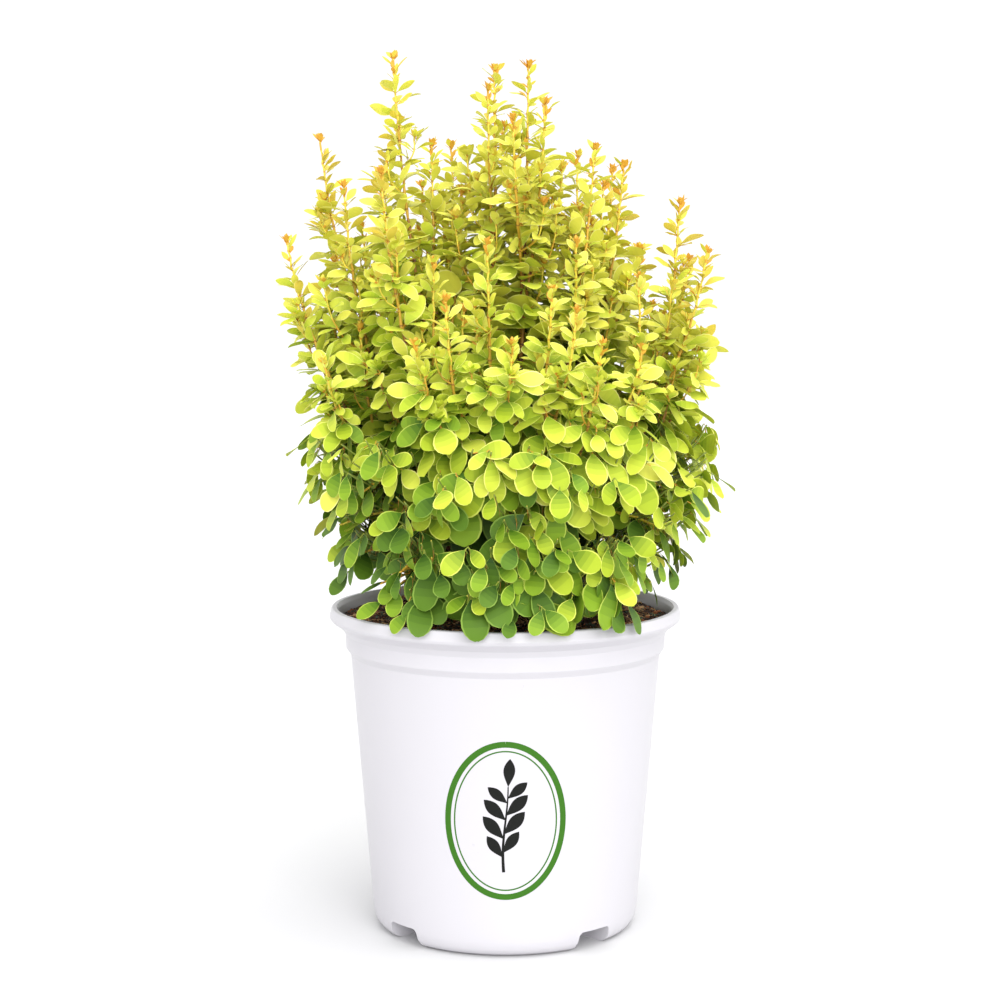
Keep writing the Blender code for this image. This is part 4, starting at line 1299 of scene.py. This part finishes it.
def leaf_grid(leaves, rows, columns, chance):
    """The points of many leaves at once, by leaf, row and column."""
    count = len(leaves)
    v, full, slim = (np.array(part)[None, :, None] for part in zip(*rows))
    u = np.array(columns)[None, None, :]

    def each(draw):
        return np.array([draw(leaf) for leaf in leaves]).reshape(count, 1, 1)

    root = np.array([leaf.root for leaf in leaves])[:, None, None, :]
    along = np.array([leaf.along for leaf in leaves])
    facing = np.array([leaf.facing for leaf in leaves])
    facing = facing + LEAF_TWIST * np.array([[chance.gauss(0, 1) for _ in range(3)] for _ in leaves])
    across = np.cross(along, facing)
    across /= np.linalg.norm(across, axis=1, keepdims=True)
    normal = np.cross(across, along)
    along, across, normal = (way[:, None, None, :] for way in (along, across, normal))
    length = each(lambda leaf: leaf.length)
    grown = each(lambda leaf: min(leaf.below / LEAF_GROWN_AT, 1.0))
    wide = length * (LEAF_WIDTH[0] + LEAF_WIDTH[1] * grown**2)
    wide = wide * each(lambda leaf: chance.uniform(*LEAF_SPREAD))
    fold = 0.42 - 0.28 * grown + each(lambda leaf: chance.uniform(-0.08, 0.12))
    bend = each(lambda leaf: chance.uniform(0.0, 0.22)) + 0.06 * grown
    wave = each(lambda leaf: chance.uniform(0.0, 0.03))
    phase = each(lambda leaf: chance.uniform(0, math.tau))
    curl = each(lambda leaf: chance.gauss(0, 0.14))
    half = np.maximum(wide / 2 * (slim + (full - slim) * grown), np.minimum(STALK, 0.04 * length) * (v < 0.5))
    off = half * u
    lift = fold * np.abs(off) - 0.5 * fold * off**2 / np.maximum(wide / 2, 1e-6)
    rise = lift - bend * length * v**2 + wave * length * np.sin(9 * v + phase) * u**2 + curl * v * off
    ahead = length * (v - 0.3 * bend * v**3)
    place = root + along * ahead[..., None] + across * off[..., None] + normal * rise[..., None]
    place = place.reshape(count, -1, 3)
    reach, height = np.hypot(place[..., 0], place[..., 1]), place[..., 2]
    inside = reach <= LIP_INSIDE
    blocked = inside & (height < SOIL_CLEAR) | ~inside & (reach < LIP_REACH) & (height < LIP_TOP)
    return place[~blocked.any(axis=1)].reshape(-1, 3)


def leaf_quads(count, rows, columns, margins):
    """The faces of many leaves, and the slot of each: blade, edge, stalk or a row near the foot in painted
    shade.
    """
    across = len(columns)
    one, slots = [], []
    for i in range(len(rows) - 1):
        for k in range(across - 1):
            one.append((i * across + k, i * across + k + 1, (i + 1) * across + k + 1, (i + 1) * across + k))
            if i == 0:
                slots.append(2)
            elif margins and k in (0, across - 2):
                slots.append(1)
            elif margins and i <= len(FOOT_SHADE_SHARES):
                slots.append(2 + i)
            else:
                slots.append(0)
    first = np.arange(count)[:, None, None] * len(rows) * across
    return (first + np.array(one)[None]).reshape(-1, 4), np.tile(slots, count)


def joined(name, parts, finishes):
    """One mesh from parts, each given as points, quads and the slots of the quads."""
    points, quads, slots = [], [], []
    first = 0
    for part_points, part_quads, part_slots in parts:
        points.append(part_points)
        quads.append(part_quads + first)
        slots.append(part_slots)
        first += len(part_points)
    points, quads, slots = (np.concatenate(found) for found in (points, quads, slots))
    mesh = bpy.data.meshes.new(name)
    mesh.vertices.add(len(points))
    mesh.vertices.foreach_set("co", points.astype(np.float32).ravel())
    mesh.loops.add(quads.size)
    mesh.loops.foreach_set("vertex_index", quads.astype(np.int32).ravel())
    mesh.polygons.add(len(quads))
    mesh.polygons.foreach_set("loop_start", np.arange(0, quads.size, 4, dtype=np.int32))
    for finish in finishes:
        mesh.materials.append(finish)
    mesh.polygons.foreach_set("material_index", slots.astype(np.int32))
    mesh.update()
    mesh.shade_smooth()
    return show(name, mesh)


def between(first, second, share):
    """The linear colour at that share of the way from one hex colour to another."""
    return [a + (b - a) * share for a, b in zip(linear(first), linear(second))]


def leaf_finish(name, colour):
    """A living leaf's skin: satin, with a thin dull wax on it that softens the light."""
    found = bpy.data.materials.get(name)
    if found:
        return found
    return new_material(name, Base_Color=colour, Roughness=0.48, IOR=1.42, Specular_IOR_Level=0.25)[0]


def tint_of(leaf, spray_luck, own_luck):
    """Which tint a leaf has: golden near a tip, yellow high in the light, green low, painted shade deep in."""
    below = leaf.below / MM
    tip = leaf.root + leaf.length * leaf.along
    height = clamp((tip.z / MM - RIPE_FROM) / RIPE_OVER)
    shown = clamp((outwardness(tip) - 0.72 + 0.14 * height) / 0.25)
    aside = clamp(tip.x / LIT_SIDE, -1.0)
    # Yellower higher up and near the tips; the lowest leaves are darker, painted shade under the crown
    ripeness_and_light = 1.6 + 4.5 * height**0.8 + 1.1 * max(1 - below / 90, 0.0) - 0.5 * max(1 - 6 * height, 0.0)
    # Leaves deep inside the crown get darker, greener tints: painted shade
    ripeness_and_light -= (0.2 + 2.1 * max(1 - 1.6 * height, 0.0)) * (1 - shown)
    # Yellower on the right, painted light of the lamps there, and darker and greener low on the left, painted
    # shade
    ripeness_and_light += 0.6 * max(aside, 0.0) + max(1 - 2.2 * height, 0.0) * min(aside, 0.0)
    ripeness_and_light += 0.45 * spray_luck + (0.35 + 0.5 * (1 - height)) * own_luck
    if below < 8 and leaf.length < 8 * MM:
        ripeness_and_light += 2.2
    golden = below < 45 and height > 0.65 and shown > 0.2
    if own_luck > TURNED_LUCK and height < 0.45 and abs(tip.x) > TURNED_ASIDE:
        return TURNED_TINT
    ripest = len(LEAF_TINTS) - (1 if leaf.length < 10 * MM else 2 if golden else 3)
    return min(max(round(ripeness_and_light), 1 if shown > 0.5 else 0), ripest)


def show_leaves(prefix, growth, nodes, seed):
    """Deals the leaves to the tints, spray by spray, and joins those of each tint into one piece."""
    chance = random.Random(seed)
    luck = [chance.gauss(0, 1) for _ in range(growth.sprays + 1)]
    dealt = [[] for _ in LEAF_TINTS]
    for leaf in growth.leaves:
        dealt[tint_of(leaf, luck[leaf.spray], chance.gauss(0, 1))].append(leaf)
    for (name, blade, foot, edge, stalk), leaves in zip(LEAF_TINTS, dealt):
        if not leaves:
            continue
        # The pale edge tint: partly the margin's paler tone, partly painted highlight
        finishes = [leaf_finish(name, linear(blade)), leaf_finish(name + "_edge", linear(edge))]
        finishes.append(leaf_finish(stalk, linear(STALK_TINTS[stalk])))
        # The rows near the foot go towards the darker foot tint: painted shade from the leaf above
        for k, share in enumerate(FOOT_SHADE_SHARES):
            finishes.append(leaf_finish(f"{name}_row_{k + 1}", between(blade, foot, share)))
        parts = []
        for small in (True, False):
            some = [leaf for leaf in leaves if (leaf.length < BUD_BELOW) is small]
            if some:
                rows, columns = (BUD_ROWS, BUD_COLUMNS) if small else (LEAF_ROWS, LEAF_COLUMNS)
                grid = leaf_grid(some, rows, columns, chance)
                count = len(grid) // (len(rows) * len(columns))
                parts.append((grid, *leaf_quads(count, rows, columns, not small)))
        piece = joined(f"{prefix}_{name}", parts, finishes)
        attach(piece, "root")
        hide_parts(*nodes)


show_leaves("crown", crown, foliage_nodes, 31)

# Skirt: the lowest foliage, on thin stems that leave the side of the foot and arch over to the rim of the
# pot. Its broad leaves hang outwards over each other like shingles, and at the front they spill over the rim.
SKIRTS = 10
SKIRT_ROOT = STEM_BASE + 8 * MM
SKIRT_ARCH = ((0.42, 30 * MM), (0.75, 42 * MM), (1, 30 * MM))
SKIRT_REACH = 92 * MM
SKIRT_REACH_FRONT = 115 * MM
SKIRT_ASIDE = math.radians(11)
# Where each fork leaves its stem, how far it turns aside and how high its tip is: the last four at the front
SKIRT_FORKS = (
    (0.34, -SKIRT_ASIDE, 18 * MM),
    (0.44, SKIRT_ASIDE, 38 * MM),
    (0.3, 0.6 * SKIRT_ASIDE, 13 * MM),
    (0.5, -0.5 * SKIRT_ASIDE, 24 * MM),
    (0.55, 0.15 * SKIRT_ASIDE, 5 * MM),
    (0.4, -0.8 * SKIRT_ASIDE, 9 * MM),
)
SKIRT_FORKS_BEHIND = 2
SKIRT_FORK_SHORT = 4 * MM
SKIRT_FRONT_DROP = 6 * MM
# The foliage that spills over the rim hangs a little to the right of the front. It is full for so far to
# either side, and peters out over so much more.
SPILL_TURN = math.radians(5)
SPILL_SPREAD = math.radians(24)
SPILL_FADE = math.radians(20)
SPILL_OUT = 0.11
# The lowest that foliage may hang in mm: at the sides, at the front, and over the lip
SIDE_LOWEST = 233
FRONT_LOWEST = 202
LIP_LOWEST = 213
LIP_OUTSIDE = 117.5
SKIRT_FROM = 0.12
SKIRT_OLD = 60 * MM


def skirt_lines(middle):
    """A low stem from the foot's side that arches over the pot's rim, and a fork to each side of it."""
    front = max(-math.sin(middle), 0.0)
    reach = SKIRT_REACH + (SKIRT_REACH_FRONT - SKIRT_REACH) * front
    drop = SKIRT_FRONT_DROP * front
    root = around(STEM_RADIUS - 1 * MM, middle, SKIRT_ROOT)
    arch = [around(share * reach, middle, SKIRT_ROOT + rise - share * drop) for share, rise in SKIRT_ARCH]
    main = Line(bezier(root, *arch))
    lines = [main]
    for share, aside, rise in SKIRT_FORKS if front > 0.5 else SKIRT_FORKS[:SKIRT_FORKS_BEHIND]:
        start, heading = main.place(share * main.length)
        tip = around(reach - SKIRT_FORK_SHORT, middle + aside, SKIRT_ROOT + rise - 0.5 * drop)
        lines.append(Line(fork_path(start, heading, tip)))
    return lines


def above_mix(point):
    """A test for what hangs clear of the mix and of the lip outside it. The front hangs lower."""
    reach = math.hypot(point.x, point.y) / MM
    aside = abs(math.remainder(math.atan2(point.y, point.x) + math.pi / 2 - SPILL_TURN, math.tau))
    front = clamp(1 - (aside - SPILL_SPREAD) / SPILL_FADE)
    lowest = SIDE_LOWEST - (SIDE_LOWEST - FRONT_LOWEST) * front
    if reach < LIP_OUTSIDE:
        lowest = max(lowest, LIP_LOWEST)
    return outwardness(point) < 1 + SPILL_OUT * front and point.z / MM > lowest


skirt = Growth(22, crown.taken)
for k in range(SKIRTS):
    for line in skirt_lines(math.tau * (k + 0.5) / SKIRTS):
        skirt.shoot(line, SKIRT_FROM * line.length, SHOOT_RADIUS, above_mix, True, SKIRT_OLD)
skirt_nodes = [f"skirt_{k:02d}" for k in range(1, SKIRTS + 1)]
skirt_stems = skirt.stems.made("skirt_shoots", shoot_finishes)
skirt_spines = skirt.spines.made("skirt_spines", [spine_finish])
for piece in (skirt_stems, skirt_spines):
    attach(piece, "root")
    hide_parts(*skirt_nodes)
show_leaves("skirt", skirt, skirt_nodes, 32)
